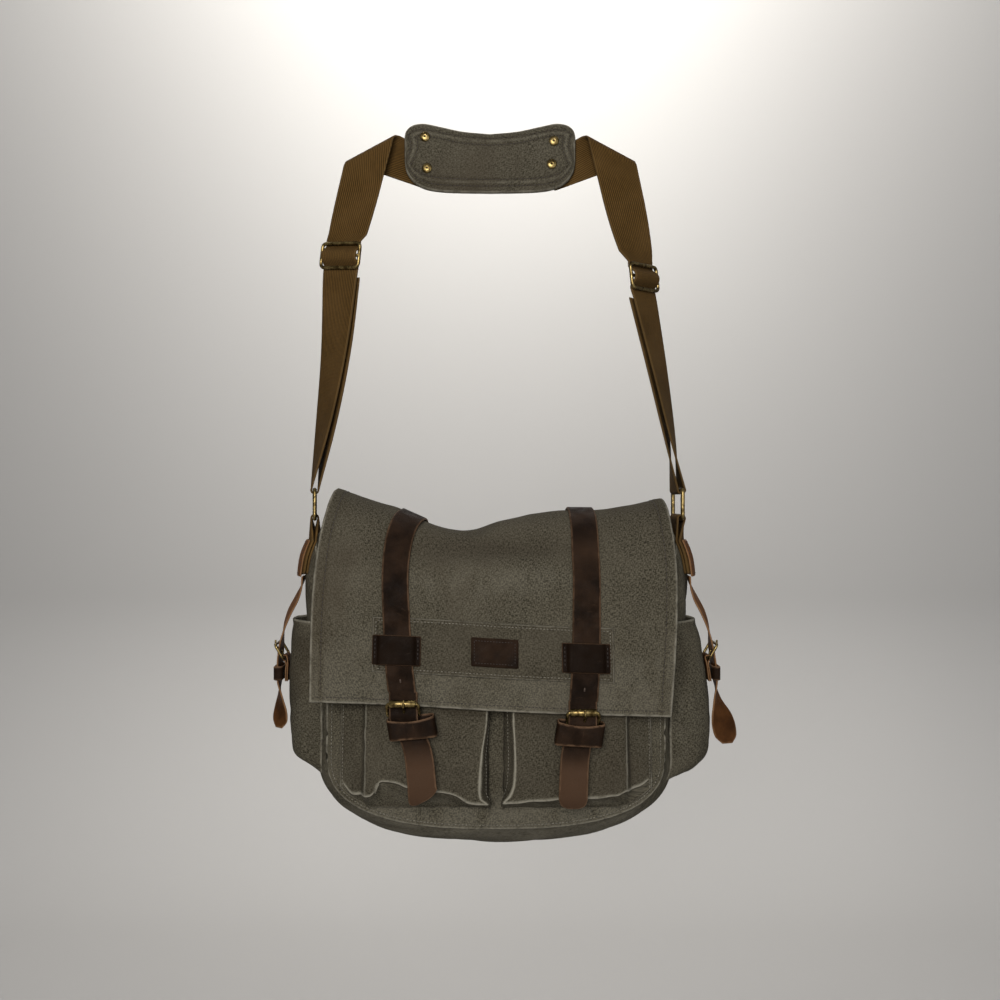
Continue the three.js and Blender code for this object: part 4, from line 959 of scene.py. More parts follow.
def make_flap_band():
    x = np.linspace(BAND["left"], BAND["right"], 120)
    grid = flap_patch(x, np.linspace(BAND["high"], BAND["low"], 34), GAP)
    cloth = crumple(grid, "flap_band")
    shade = mottle(cloth, "flap_band") - 0.24
    band = soft_piece("flap_band", "canvas", cloth, BAND["thick"], shade=shade, kept=0.4)
    lines = inset_line(grid, ALL_ROUND, BAND_ROW, BAND["thick"])
    stitches("flap_band_stitches", lines, PALE_THREAD, "canvas")


make_flap()
make_panels()
make_gusset()
make_flap_band()
for side, sign in SIDES.items():
    make_front_pocket(side, sign)
    make_side_pocket(side, sign)


# Wire, rollers and other brass

WIRE_SIDES = 14
TURNED_SIDES = 28


def tube(name, path, radius, facing, closed=True):
    """Round wire along a path, its rings of points set out from a direction that the wire doesn't take."""
    along = unit(np.roll(path, -1, 0) - np.roll(path, 1, 0) if closed else np.gradient(path, axis=0))
    aside = unit(np.cross(along, unit(facing)))
    up = np.cross(aside, along)
    angles = np.linspace(0, 2 * np.pi, WIRE_SIDES, endpoint=False)[None, :, None]
    radius = np.broadcast_to(radius, (len(path),))[:, None, None]
    spokes = aside[:, None] * np.cos(angles) + up[:, None] * np.sin(angles)
    points = (path[:, None] + spokes * radius).reshape(-1, 3)
    index = np.arange(len(points)).reshape(-1, WIRE_SIDES)
    if closed:
        faces = skin(index, np.roll(index, -1, 0)).tolist()
    else:
        faces = skin(index[:-1], index[1:]).tolist() + [index[0, ::-1].tolist(), index[-1].tolist()]
    return add_mesh(name, points, faces, FINISHES["brass"])


def wire_piece(node, *form, **more):
    """Wire that stands for a node of the frame."""
    place(tube("bag_" + node, *form, **more), "brass", node)


def turned_piece(node, profile, centre, axis):
    """Brass turned about an axis through centre, from a closed profile of radius and height."""
    profile = np.asarray(profile, float)
    axis = np.asarray(axis, float)
    aside = unit(np.cross(axis, (0.3, 0.2, 0.9)))
    angles = np.linspace(0, 2 * np.pi, TURNED_SIDES, endpoint=False)[:, None]
    spokes = aside * np.cos(angles) + np.cross(axis, aside) * np.sin(angles)
    points = (profile[:, None, :1] * spokes[None] + profile[:, None, 1:] * axis + centre).reshape(-1, 3)
    index = np.arange(len(points)).reshape(-1, TURNED_SIDES)
    faces = skin(index, np.roll(index, -1, 0)).tolist()
    place(add_mesh("bag_" + node, points, faces, FINISHES["brass"]), "brass", node)


def rounded_rectangle(half_wide, half_tall, corner, count, steps=8):
    """Evenly spaced points round a rectangle with round corners."""
    pairs = []
    for quarter, (right, up) in enumerate([(1, 1), (-1, 1), (-1, -1), (1, -1)]):
        for angle in math.pi / 2 * (quarter + np.arange(steps + 1) / steps):
            wide = right * (half_wide - corner) + corner * math.cos(angle)
            pairs.append((wide, up * (half_tall - corner) + corner * math.sin(angle)))
    closed = np.array(pairs + pairs[:1])
    reach = lengths(closed, 0)
    return read_line(closed, reach, np.linspace(0, reach[-1], count, endpoint=False))


def wire_path(centre, right, up, *rectangle):
    """A path round a rounded rectangle that lies along two directions about a centre."""
    loop = rounded_rectangle(*rectangle)
    return centre + loop[:, :1] * right + loop[:, 1:] * up


def loop_tab(rest, foot, bar_out, bar_z, inside, count):
    """Line of a doubled strip looped over a bar: how far out it lies, and its heights."""
    turn = np.linspace(0, np.pi, 9)
    out = np.concatenate([rest, bar_out - inside * np.cos(turn), (rest + GAP)[::-1]])
    z = np.concatenate([foot, bar_z + inside * np.sin(turn), foot[::-1]])
    return resample(np.stack([out, z], -1), count).T


# Leather on the front

WIRE = 1.6  # radius of the front buckles' wire
ROLLER = 3.3
STRAP_WIDTH = 23.0
FRAME_HALF = 13.6  # half width of the front buckles, to the middle of the wire
FLAP_LIFT = 0.9
OVER_BAND = BAND["thick"] + 2 * GAP
CLOSURES = {
    "left": {
        "roller": -527.5,
        "route": columns("v x", (0, -79), (0.36, -80), (0.6, -90), (0.85, -86), (1, -80.5)),
        "tail": (-75.5, -67.5, -64, -63),
        "tip": 77.0,
        "slant": 12.0,
        "sheen": 0.0,
        "keeper": {"aside": 8.0, "drop": 8.7, "tall": 8.0, "skew": -0.1},
    },
    "right": {
        "roller": -535.0,
        "route": columns("v x", (0, 80), (0.36, 80), (0.6, 81), (0.85, 79), (1, 75.5)),
        "tail": (72, 68.5, 67, 66.5),
        "tip": 69.0,
        "slant": 0.0,
        "sheen": 0.3,
        "keeper": {"aside": -3.0, "drop": 6.3, "tall": 9.0, "skew": -0.06},
    },
}
BAR_DROP = 12.0
KEEPER_LIFT = SEAM_GAP + THIN_LEATHER + GAP
TAB_LIFT = KEEPER_LIFT + 2 * THIN_LEATHER + GAP
TAIL_LIFT = TAB_LIFT + SEAM_GAP
PRONG_ASIDE = 1.2
HOLE_ABOVE_BAR = 30.0
SHEEN_HEIGHT = -399.0  # height of a painted sheen, a lighter band of painted highlight on a strap


def bar_depth(x, z):
    return pocket_face(x, z) - KEEPER_LIFT - THIN_LEATHER - GAP - WIRE


def closure_grid(closure, count=15):
    """The strap from behind the crest over the flap, over the buckle and down to its tip."""
    route, tail = closure["route"], closure["tail"]
    end = route["x"][-1]
    bar = closure["roller"] - BAR_DROP
    half = STRAP_WIDTH / 2
    v = np.linspace(0.03, float(flap_share(end, hem(end) + 12)), 150)
    x = smooth(route, "x", v)
    height = flap_point(x, v)[:, 2] - hem(x)
    by_band = step(BAND["high"] + 10, BAND["high"] + 2, height)
    lift = np.where(v > FLAP_CREST, mix(FLAP_LIFT, OVER_BAND, by_band), FLAP_LIFT)
    across = unit(on_flap(x + half, v, lift) - on_flap(x - half, v, lift))
    on_top = strip_grid(on_flap(x, v, lift), across, half, count)
    over_bar = bar_depth(end, bar) - WIRE - GAP - THIN_LEATHER - GAP
    first = on_flap(end, v[-1], OVER_BAND)
    stations = [
        (*first, half),
        (end, flap_point(end, 1)[1] - OVER_BAND, closure["roller"], half),
        (end + (tail[0] - end) / 8, over_bar, bar + 3, half),
        (end + (tail[0] - end) / 4, over_bar, bar - 3, half),
    ]
    for place_x, share in zip(tail, (0.125, 0.375, 0.69, 0.875)):
        z = bar - share * closure["tip"]
        stations.append((place_x, float(tail_rest(place_x, z)) - TAIL_LIFT, z, half))
    for before_tip, share in ((5.4, 0.96), (2.4, 0.84), (0.7, 0.62), (0, 0.4)):
        z = bar - closure["tip"] + before_tip
        stations.append((tail[-1], float(tail_rest(tail[-1], z)) - TAIL_LIFT, z, half * share))
    line = resample(stations, 110)[1:]
    level = np.broadcast_to((1.0, 0.0, 0.0), (len(line), 3))
    hanging = strip_grid(line[:, :3], level, line[:, 3], count)
    near_tip = step(bar - closure["tip"] + 22, bar - closure["tip"], hanging[..., 2])
    hanging[..., 2] += closure["slant"] * near_tip * (hanging[..., 0] - tail[-1] + half) / STRAP_WIDTH
    return np.concatenate([on_top, hanging])


def punch_hole(side, grid, z):
    """The worn mark of a hole in the middle of a strap's front, at a height."""
    middle = grid[:, grid.shape[1] // 2]
    row = len(middle) - 1 - int(np.argmin(np.abs(middle[::-1, 2] - z)))
    near = slice(row - 1, row + 2)
    out = grid_normals(grid)[near, grid.shape[1] // 2]
    mark = [(middle[near] + out * LEATHER, out)]
    stitches("strap_hole_" + side, mark, HOLE_EDGE, "dark_leather", pitch=3.0, length=4.2, radius=0.8)


def make_closure(side):
    closure = CLOSURES[side]
    x = closure["route"]["x"][-1]
    bar_z = closure["roller"] - BAR_DROP
    bar = np.array([x, float(bar_depth(x, bar_z)), bar_z])
    strap_front = flap_point(x, 1)[1] - OVER_BAND - LEATHER
    roller = np.array([x, strap_front - GAP - ROLLER - 0.4, closure["roller"]])
    grid = closure_grid(closure)
    tail = (bar_z - grid[..., 2]) / closure["tip"]
    warm = 0.85 * step(0.25, 0.6, tail) * step(1.35, 0.75, tail)
    # Painted sheen: a band of painted highlight across the strap near the sheen height.
    warm = warm + closure["sheen"] * peak(grid[..., 2], SHEEN_HEIGHT, 14)
    looks = {"shade": warm, "kept": 0.6, "raw": np.linspace(0.3, 1, grid.shape[1])[None]}
    soft_piece("closure_strap_" + side, "dark_leather", grid, LEATHER, **looks)
    punch_hole(side, grid, bar_z + HOLE_ABOVE_BAR)
    make_front_buckle(side, bar, roller)
    make_buckle_tab(side, x, bar)
    make_buckle_keeper(side, x, bar_z)


def make_front_buckle(side, bar, roller):
    """Wire frame, a roller on its upper bar and a prong that rests on the roller."""
    up = unit(roller - bar)
    reach = np.linalg.norm(roller - bar) / 2
    right = np.array([1.0, 0, 0])
    path = wire_path((bar + roller) / 2, right, up, FRAME_HALF, reach, 3, 110)
    wire_piece("front_buckle_" + side, path, WIRE, np.cross(up, right))
    inside, half, soft = WIRE + 0.4, 11.5, 0.5
    profile = [
        (inside, -half), (ROLLER - soft, -half), (ROLLER, -half + soft), (ROLLER, half - soft),
        (ROLLER - soft, half), (inside, half),
    ]
    turned_piece("front_roller_" + side, profile, roller, right)
    thick = 1.1
    clear = 0.4 + thick
    on_bar, on_roller = bar[1] - WIRE - clear, roller[1] - ROLLER - clear
    stations = (
        (on_bar, bar[2] + 0.5, 1.2), (on_bar - 2.5, bar[2] + 5, 1.1),
        (on_roller + clear + 0.3, bar[2] + 9, 1), (on_roller, roller[2] - 1, 1),
        (on_roller, roller[2] + 4, 0.7),
    )
    path = resample([(bar[0] + PRONG_ASIDE, y, z, thick * share) for y, z, share in stations], 30)
    wire_piece("front_prong_" + side, path[:, :3], path[:, 3], right, closed=False)


def make_buckle_tab(side, x, bar):
    """A doubled strip of leather looped over the buckle's lower bar."""
    foot = bar[2] - np.array([15, 11, 8])
    rest = KEEPER_LIFT + THIN_LEATHER - pocket_face(x, foot)
    out, z = loop_tab(rest, foot, -bar[1], bar[2], WIRE + GAP, 70)
    line = point(x, -out, z)
    grid = strip_grid(line, np.broadcast_to((1.0, 0, 0), line.shape), 8.0, 9)
    soft_piece("buckle_tab_" + side, "dark_leather", grid, THIN_LEATHER)


LOOP = {"wide": 19.0, "depth": 6.1, "flare": 1.5, "dip": 2.6}


def make_buckle_keeper(side, strap_x, bar_z):
    """A loose loop of leather round the strap and the tab, skewed, flared and dipped at the front."""
    aside, drop, tall, skew = CLOSURES[side]["keeper"].values()
    wide, depth, flare, dip = LOOP.values()
    lean = math.copysign(1, aside)
    a, b = (part[:, None] for part in rounded_rectangle(wide, depth, 2.2, 120).T)
    up = np.linspace(-1, 1, 13)[None]
    x = strap_x + aside + a - up * lean * flare
    z = bar_z - drop + up * tall - a * lean * skew
    y = pocket_face(x, z) - SEAM_GAP - THIN_LEATHER - depth + b
    sag = dip * (1 - (a / wide) ** 2) * step(-0.6, 1, up) * step(depth, -depth, b)
    soft_piece("buckle_keeper_" + side, "dark_leather", point(x, y, z - sag), THIN_LEATHER, loop=True)


KEEPER_SECTION = columns("x up", (-20.5, 0), (-17, 0), (-13.2, 1), (13.2, 1), (17, 0), (20.5, 0))
KEEPER_HALF_HEIGHT = 12.0
FLAP_KEEPERS = {"left": (-87, 46.5), "right": (79, 48)}  # place across and height above the hem
LABEL = {"left": -21.0, "right": 19.0, "low": 37.5, "high": 60.5, "lift": OVER_BAND + 0.2}


def make_flap_keeper(side):
    """A loop sewn to the band at both sides, over the closure strap."""
    x, height = FLAP_KEEPERS[side]
    offset = np.linspace(*KEEPER_SECTION["x"][[0, -1]], 56)
    heights = np.linspace(height + KEEPER_HALF_HEIGHT, height - KEEPER_HALF_HEIGHT, 26)
    rise = step(0, 1, np.interp(offset, KEEPER_SECTION["x"], KEEPER_SECTION["up"]))
    lift = np.broadcast_to(mix(OVER_BAND, OVER_BAND + LEATHER + GAP, rise), (len(heights), len(offset)))
    grid = flap_patch(x + offset, heights, lift)
    looks = {"shade": -0.8, "kept": 1.2, "raw": 0.45}
    soft_piece("flap_keeper_" + side, "dark_leather", grid, THIN_LEATHER, **looks)
    lines = inset_line(grid, ("left", "right"), KEEPER_ROW, THIN_LEATHER)
    stitches("flap_keeper_stitches_" + side, lines, DARK_THREAD, "dark_leather", pitch=3.6, length=2.6)


def make_label():
    """A blank leather patch sewn to the middle of the band."""
    heights = np.linspace(LABEL["high"], LABEL["low"], 32)
    grid = flap_patch(np.linspace(LABEL["left"], LABEL["right"], 52), heights, LABEL["lift"])
    soft_piece("label_patch", "dark_leather", grid, THIN_LEATHER, kept=1.6, raw=0.15)
    lines = inset_line(grid, ALL_ROUND, PATCH_ROW, THIN_LEATHER)
    stitches("label_stitches", lines, DARK_THREAD, "dark_leather", pitch=2.6, length=1.9, radius=0.28)


for side in SIDES:
    make_closure(side)
for side in SIDES:
    make_flap_keeper(side)
make_label()


# Rings, their tabs and the side pockets' straps

RING_WIRE = 2.0
RING_X = 174.0
RING_TOP = -342.0
RING_BOTTOM = -369.0
RING_Y = 8.0
RING_HALF_LENGTH = 23.5
RING_TURN = {"left": 78.4, "right": 90.0}  # degrees from facing forward
SMALL_LEATHER = 1.2
RING_TAB = {"low": -420.0, "high": -390.0, "half": WEBBING_WIDTH / 2 - 1, "apart": 1.0}
RING_PATCH = {"low": -423.0, "high": -390.0, "half": 16.0}


def mirrored(grid, sign):
    """A grid of the right side, or its mirror image turned to face out again."""
    if sign > 0:
        return grid
    return (grid * (-1.0, 1.0, 1.0))[:, ::-1]


def ring_frame(side):
    """Directions along a ring's bars and out of its plane, on the right side."""
    angle = math.radians(RING_TURN[side])
    along = np.array([math.cos(angle), math.sin(angle), 0])
    return along, np.array([math.sin(angle), -math.cos(angle), 0])


def by_ring(side, along, out, z):
    """Points near a ring: along its bars, out of its plane and at a height."""
    along, out, z = (np.asarray(part, float)[..., None] for part in np.broadcast_arrays(along, out, z))
    bars, plane = ring_frame(side)
    return np.array([RING_X, RING_Y, 0]) + along * bars + out * plane + z * np.array([0, 0, 1.0])


def make_ring(side, sign):
    flip = np.array([sign, 1.0, 1.0])
    bars, plane = ring_frame(side)
    centre = np.array([RING_X, RING_Y, (RING_TOP + RING_BOTTOM) / 2])
    path = wire_path(centre, bars, UP, RING_HALF_LENGTH, (RING_TOP - RING_BOTTOM) / 2, 3.5, 130)
    wire_piece("strap_ring_" + side, path * flip, RING_WIRE, plane * flip)


def on_gusset(y, z, lift):
    """Points beside the gusset, by places along the ring, heights and how far they are lifted."""
    return point(gusset_side(RING_Y + y, z) + 2 * SEAM_GAP + lift, RING_Y + y, z)


def make_ring_tab(side, sign):
    """Webbing looped over the ring's lower bar, and the leather sewn over its legs."""
    inside = RING_WIRE + GAP
    low, high, half, apart = RING_TAB.values()
    y = np.linspace(-1, 1, 15)[None] * half
    legs = np.linspace(low, high, 12)[:, None]
    turn = np.linspace(0, np.pi, 16)[:, None]
    loop = by_ring(side, y, -inside * np.cos(turn), RING_BOTTOM + inside * np.sin(turn))
    inner, outer = on_gusset(y, legs, WEBBING), on_gusset(y, legs, WEBBING + apart)[::-1]
    rise = np.linspace(0, 1, 12)[1:-1, None, None]
    climb, fall = mix(inner[-1:], loop[:1], rise), mix(loop[-1:], outer[:1], rise)
    rows = np.concatenate([inner, climb, loop, fall, outer])
    soft_piece("ring_tab_" + side, "webbing", mirrored(rows, sign), WEBBING)
    low, high, half = RING_PATCH.values()
    y, z = np.linspace(-half, half, 30)[None], np.linspace(high, low, 34)[:, None]
    patch = mirrored(on_gusset(y, z, 2 * (WEBBING + GAP) + apart), sign)
    soft_piece("ring_patch_" + side, "tan_leather", patch, THIN_LEATHER, shade=0.6)
    lines = inset_line(patch, ALL_ROUND, PATCH_ROW, THIN_LEATHER)
    stitches("ring_patch_stitches_" + side, lines, DARK_THREAD, "tan_leather")


SIDE_STRAP_TOP = (
    (182, 2, -424, 0, 9), (184.5, 2, -434, -12, 9), (189.5, 2, -446, -22, 9), (195.5, 1, -458, -22, 9),
    (200.5, 0, -473, -14, 9), (203.5, 0, -492, 0, 9),
)
SIDE_STRAP_TIPS = {
    "left": (
        (204.6, -1, -520, 0, 9), (203.2, -4, -535, -22, 9), (202, -8, -548, -42, 10.5),
        (202, -11, -558, -52, 9.5), (202.5, -13, -564, -56, 4),
    ),
    "right": (
        (206.6, -1, -520, 0, 9), (208, -4, -540, -30, 9.5), (212, -8, -556, -60, 12.5),
        (215, -10, -572, -72, 11), (216.5, -11, -579, -75, 5),
    ),
}
SIDE_BUCKLE = {"z": -492.0, "x": 203.5, "tall": 8.0, "half": 13.0, "wire": 1.3}
SIDE_PRONG = 0.9
SIDE_TAB = {"heights": np.array([-522.0, -512.0, -505.0]), "half": 7.0}
SIDE_KEEPER = {"z": -514.0, "half": 6.0, "thick": 1.4}
SIDE_KEEPER_FRONT = {"left": 207.6, "right": 209.2}


def make_side_strap(side, sign):
    """The strap from the gusset over the pocket's rim and through its buckle to a free tip."""
    x, y, z, turn, half = resample(SIDE_STRAP_TOP + SIDE_STRAP_TIPS[side], 130).T
    angle = np.radians(turn)
    across = point(-np.sin(angle), np.cos(angle), 0 * angle)
    grid = mirrored(strip_grid(point(x, y, z), across, half, 13), sign)
    warm = 0.7 * step(-505, -480, grid[..., 2])
    soft_piece("side_strap_" + side, "tan_leather", grid, THIN_LEATHER, shade=warm)


def make_side_buckle(side, sign):
    """A small buckle on the side pocket, with its prong and the tab that holds it."""
    z, x, tall, half, wire = SIDE_BUCKLE.values()
    flip = np.array([sign, 1.0, 1.0])
    lower = np.array([x - 4.2, 0.0, z - tall])
    upper = np.array([x + THIN_LEATHER + wire + 0.6, 0.0, z + tall - 3])
    up = unit(upper - lower)
    right = np.array([0.0, 1.0, 0.0])
    path = wire_path((lower + upper) / 2, right, up, half, np.linalg.norm(upper - lower) / 2, 3, 90)
    wire_piece("side_buckle_" + side, path * flip, wire, np.cross(up, right) * flip)
    on_lower, on_upper = (bar[0] + wire + SIDE_PRONG + 0.4 for bar in (lower, upper))
    stations = [
        (on_lower, 0, lower[2] + 0.5), (on_lower + 1.5, 0, lower[2] + 5), (on_upper - 0.5, 0, upper[2] - 3),
        (on_upper, 0, upper[2] + 2.5),
    ]
    wire_piece("side_prong_" + side, resample(stations, 20) * flip, SIDE_PRONG, right, closed=False)
    foot = SIDE_TAB["heights"]
    rest = side_pocket_face(sign, 0.0, foot) + SEAM_GAP + SMALL_LEATHER
    out, z = loop_tab(rest, foot, lower[0], lower[2], wire + GAP, 60)
    line = point(out, 0, z)
    grid = strip_grid(line, np.broadcast_to(right, line.shape), SIDE_TAB["half"], 9)
    soft_piece("side_buckle_tab_" + side, "tan_leather", mirrored(grid, sign), SMALL_LEATHER)


def make_side_keeper(side, sign):
    z, half, thick = SIDE_KEEPER.values()
    front = SIDE_KEEPER_FRONT[side]
    back = side_pocket_face(sign, 0.0, z) + SEAM_GAP + 5.4
    loop = rounded_rectangle((front - back) / 2, 11, 2.2, 80)
    up = np.linspace(-half, half, 9)[None]
    grid = mirrored(point((back + front) / 2 + loop[:, :1], loop[:, 1:] - 0.5, z + up), sign)
    soft_piece("side_keeper_" + side, "dark_leather", grid, thick, loop=True)


for side, sign in SIDES.items():
    make_ring(side, sign)
    make_ring_tab(side, sign)
    make_side_strap(side, sign)
    make_side_buckle(side, sign)
    make_side_keeper(side, sign)


# The shoulder strap: two webbings, their adjusters, the pad and its rivets

FOLD = {"radius": 5.0, "depth": 6.0, "axis": unit(np.array([-0.88, 0, 0.475]))}
SLIDE = {"wide": 21.1, "tall": 13.2, "bar": 3.4, "thick": 3.0, "depth": -2.8}
HANG = unit(np.array([-0.105, 0, 0.995]))  # direction up the webbing at the adjusters
WEBBINGS = {
    "left": {
        "fold": (122, 0, -24), "slide": (146.5, 0, -120), "pad_end": 62,
        "route": columns(
            "drop x y turn apart",
            (0, 147.5, 3.4, 24, 1.4), (0.35, 153, 4.5, 42, 1.6), (0.68, 162.5, 6.5, 58, 1.8),
            (1, RING_X, RING_Y, RING_TURN["left"], RING_WIRE + GAP),
        ),
    },
    "right": {
        "fold": (111, 0, -24), "slide": (138.5, 0, -140.6), "pad_end": 50,
        "route": columns(
            "drop x y turn apart",
            (0, 139.5, 3.4, 46, 1.4), (0.4, 154.5, 4.5, 60, 1.6), (0.76, 167, 6.5, 74, 1.8),
            (1, RING_X, RING_Y, RING_TURN["right"], RING_WIRE + GAP),
        ),
    },
}
WEBBING_ACROSS = np.linspace(-1, 1, 17) * WEBBING_WIDTH / 2


def webbing_frame(along, turn):
    """Directions across webbing and to its back, where it runs along a direction and is twisted."""
    angle = np.radians(np.asarray(turn, float))[..., None]
    level = point(along[..., 2], 0, -along[..., 0])
    to_back = np.array([0.0, 1.0, 0.0])
    across = level * np.cos(angle) + to_back * np.sin(angle)
    return across, to_back * np.cos(angle) - level * np.sin(angle)


def webbing_rows(centre, along, turn, depth):
    """Rows of webbing about centres; depth is how far back they lie."""
    across, back = webbing_frame(along, turn)
    middle = centre + back * np.asarray(depth, float)[..., None]
    return middle[:, None] + across[:, None] * WEBBING_ACROSS[None, :, None]


def fold_rows(webbing, along):
    """Rows from behind the pad to the end of the slanted fold."""
    fold = np.array(webbing["fold"], float)
    axis, radius, depth = FOLD["axis"], FOLD["radius"], FOLD["depth"]
    lift = np.array([axis[2], 0, -axis[0]])
    cosine, sine = along @ axis, along @ lift
    angle = np.linspace(np.pi, 0, 33)[:, None]
    shift = radius * angle * cosine / sine - WEBBING_ACROSS[None] / sine
    rise = np.broadcast_to(radius * np.sin(angle), shift.shape)
    bent = fold + shift[..., None] * axis + rise[..., None] * lift
    bent[..., 1] = depth - radius * np.cos(angle)
    back = along - 2 * sine * lift
    start = bent[0, len(WEBBING_ACROSS) // 2]
    reach = (start[0] - webbing["pad_end"]) / -back[0]
    sideways = np.array([-back[2], 0, back[0]])
    far = start + back * reach + sideways * WEBBING_ACROSS[:, None]
    return np.concatenate([mix(far[None], bent[:1], np.linspace(0, 1, 40)[:-1, None, None]), bent])


def upper_rows(webbing):
    """Rows from behind the pad, over the slanted fold and down through the adjuster."""
    fold, slide = np.array(webbing["fold"], float), np.array(webbing["slide"], float)
    along = unit(fold - slide)
    full = webbing["route"]["turn"][0]
    front = FOLD["depth"] - FOLD["radius"]
    over = SLIDE["depth"] - SLIDE["thick"] / 2 - GAP
    bent = fold_rows(webbing, along)
    share = np.linspace(0.4, 0.78, 26)[:, None]
    direction = unit(mix(along, HANG, share))
    twist = webbing_rows(mix(fold, slide, share), direction, full * share[:, 0] ** 2, np.full(26, front))
    offset = np.linspace(14, -14, 46)
    weave = columns("at y", (-14, front), (-8.4, front), (-2.6, over), (2.6, over), (8.4, front), (14, front))
    place_on = slide + offset[:, None] * HANG
    hang = np.broadcast_to(HANG, place_on.shape)
    through = webbing_rows(place_on, hang, np.full(46, full), smooth(weave, "y", offset))
    first = mix(bent[-1:], twist[:1], np.linspace(0, 1, 26)[1:-1, None, None])
    last = mix(twist[-1:], through[:1], np.linspace(0, 1, 8)[1:-1, None, None])
    return np.concatenate([bent, first, twist, last, through])


def lower_rows(side, webbing):
    """Rows from the adjuster to the ring, round its upper bar and up again behind the first layer."""
    drop = np.linspace(0.02, 1, 90)
    route = webbing["route"]
    x, y, turn, apart = (smooth(route, key, drop) for key in ("x", "y", "turn", "apart"))
    angle = np.radians(turn)
    out = point(np.sin(angle), -np.cos(angle), 0 * angle)
    across = point(np.cos(angle), np.sin(angle), 0 * angle)
    centre = point(x, y, mix(webbing["slide"][2] - 17, RING_TOP, drop))
    layers = [
        (centre + out * (apart * layer)[:, None])[:, None] + across[:, None] * WEBBING_ACROSS[None, :, None]
        for layer in (1, -1)
    ]
    bend = np.linspace(0, np.pi, 18)[1:-1, None]
    inside = RING_WIRE + GAP
    turn_rows = by_ring(side, WEBBING_ACROSS[None], inside * np.cos(bend), RING_TOP - inside * np.sin(bend))
    return np.concatenate([layers[0], turn_rows, layers[1][::-1]])


def make_shoulder_strap(side, sign):
    webbing = WEBBINGS[side]
    rows = np.concatenate([upper_rows(webbing), lower_rows(side, webbing)])
    soft_piece("shoulder_strap_" + side, "webbing", mirrored(rows, sign), WEBBING)


def join(name, parts):
    """One object from several."""
    with bpy.context.temp_override(active_object=parts[0], selected_editable_objects=parts):
        bpy.ops.object.join()
    parts[0].name = name
    return parts[0]


def make_slide(side, sign):
    """A wire frame with a bar across its middle."""
    webbing = WEBBINGS[side]
    flip = np.array([sign, 1.0, 1.0])
    across, back = webbing_frame(HANG, webbing["route"]["turn"][0])
    centre = np.array(webbing["slide"], float) + back * SLIDE["depth"]
    wire = SLIDE["bar"] / 2
    path = wire_path(centre, across, HANG, SLIDE["wide"], SLIDE["tall"] - wire, 4, 120)
    outer = tube("slide_frame_" + side, path * flip, wire, back * flip)
    ends = np.linspace(-1, 1, 20)[:, None] * SLIDE["wide"]
    bar = tube("slide_bar_" + side, (centre + ends * across) * flip, wire, back * flip, closed=False)
    place(join("bag_slide_adjuster_" + side, [outer, bar]), "brass", "slide_adjuster_" + side)


RIVETS = ((-68, -5), (-66, -35), (55, -9), (53, -31))
RIVET = ((0.05, 0), (4.8, 0), (4.9, 0.3), (4.5, 0.9), (3.4, 1.5), (1.8, 1.8), (0.05, 1.9))
PAD = {"left": -88.0, "right": 76.0, "front": 3.6, "thick": 7.0}


for side, sign in SIDES.items():
    make_shoulder_strap(side, sign)
    make_slide(side, sign)
for number, (x, z) in enumerate(RIVETS, 1):
    turned_piece("pad_rivet_%d" % number, RIVET, (x, PAD["front"] - GAP, z), (0, -1, 0))


# Upper and lower edge of the pad, by distance from its nearest end
PAD_EDGES = columns(
    "end top low",
    (0, -3, -28), (1, 1.5, -36), (4, 5.4, -42.5), (9, 8, -48.6), (18, 9, -54), (32, 6.5, -57),
    (55, 2.2, -58.4), (82, 0, -58.9),
)
PAD_ROWS = (5.5, 12.0)  # distances of the rows of stitches from the pad's edge
PAD_RIDGE = 8.8
PAD_SWELL = 2.4  # the filling may push the cloth out this far
PAD_EASE = 1.2  # the empty cloth is this much smaller all round
PAD_PRESSURE = 4.0
PAD_FRAMES = 20  # of the simulation that fills the pad


def pad_grid(rows=54, cols=110):
    """The pad's boat shape: a hollow top edge and rounded corners."""
    middle, half = (PAD["left"] + PAD["right"]) / 2, (PAD["right"] - PAD["left"]) / 2
    x = half * np.sin(np.linspace(-np.pi / 2, np.pi / 2, cols))[None]
    end = half - np.abs(x)
    top = smooth(PAD_EDGES, "top", end) - PAD_EASE
    low = smooth(PAD_EDGES, "low", end) + PAD_EASE
    z = mix(top, low, np.linspace(0, 1, rows)[:, None])
    x = middle + np.broadcast_to(x, z.shape) * (half - PAD_EASE) / half
    return point(x, PAD["front"] + PAD_EASE, z)


def read_points(mesh, key="co"):
    """Three numbers at each point of a mesh."""
    values = np.zeros(len(mesh.vertices) * 3)
    mesh.vertices.foreach_get(key, values)
    return values.reshape(-1, 3)


def move_points(mesh, points):
    mesh.vertices.foreach_set("co", points.ravel())
    mesh.update()


def inflate(obj, pressure, cap):
    """Fills a closed cloth form with a cloth simulation, capped in millimetres."""
    start = read_points(obj.data)
    cloth = obj.modifiers.new("filling", "CLOTH")
    cloth.settings.use_pressure = True
    cloth.settings.uniform_pressure_force = pressure
    cloth.settings.effector_weights.gravity = 0
    cloth.settings.tension_stiffness = 30
    scene = bpy.context.scene
    for number in range(1, PAD_FRAMES + 1):
        scene.frame_set(number)
    shaped = obj.evaluated_get(bpy.context.evaluated_depsgraph_get()).to_mesh()
    move = read_points(shaped) - start
    obj.modifiers.remove(cloth)
    scene.frame_set(1)
    far = np.linalg.norm(move, axis=1, keepdims=True)
    move_points(obj.data, start + move * np.minimum(1, cap * MM / np.maximum(far, 1e-9)))


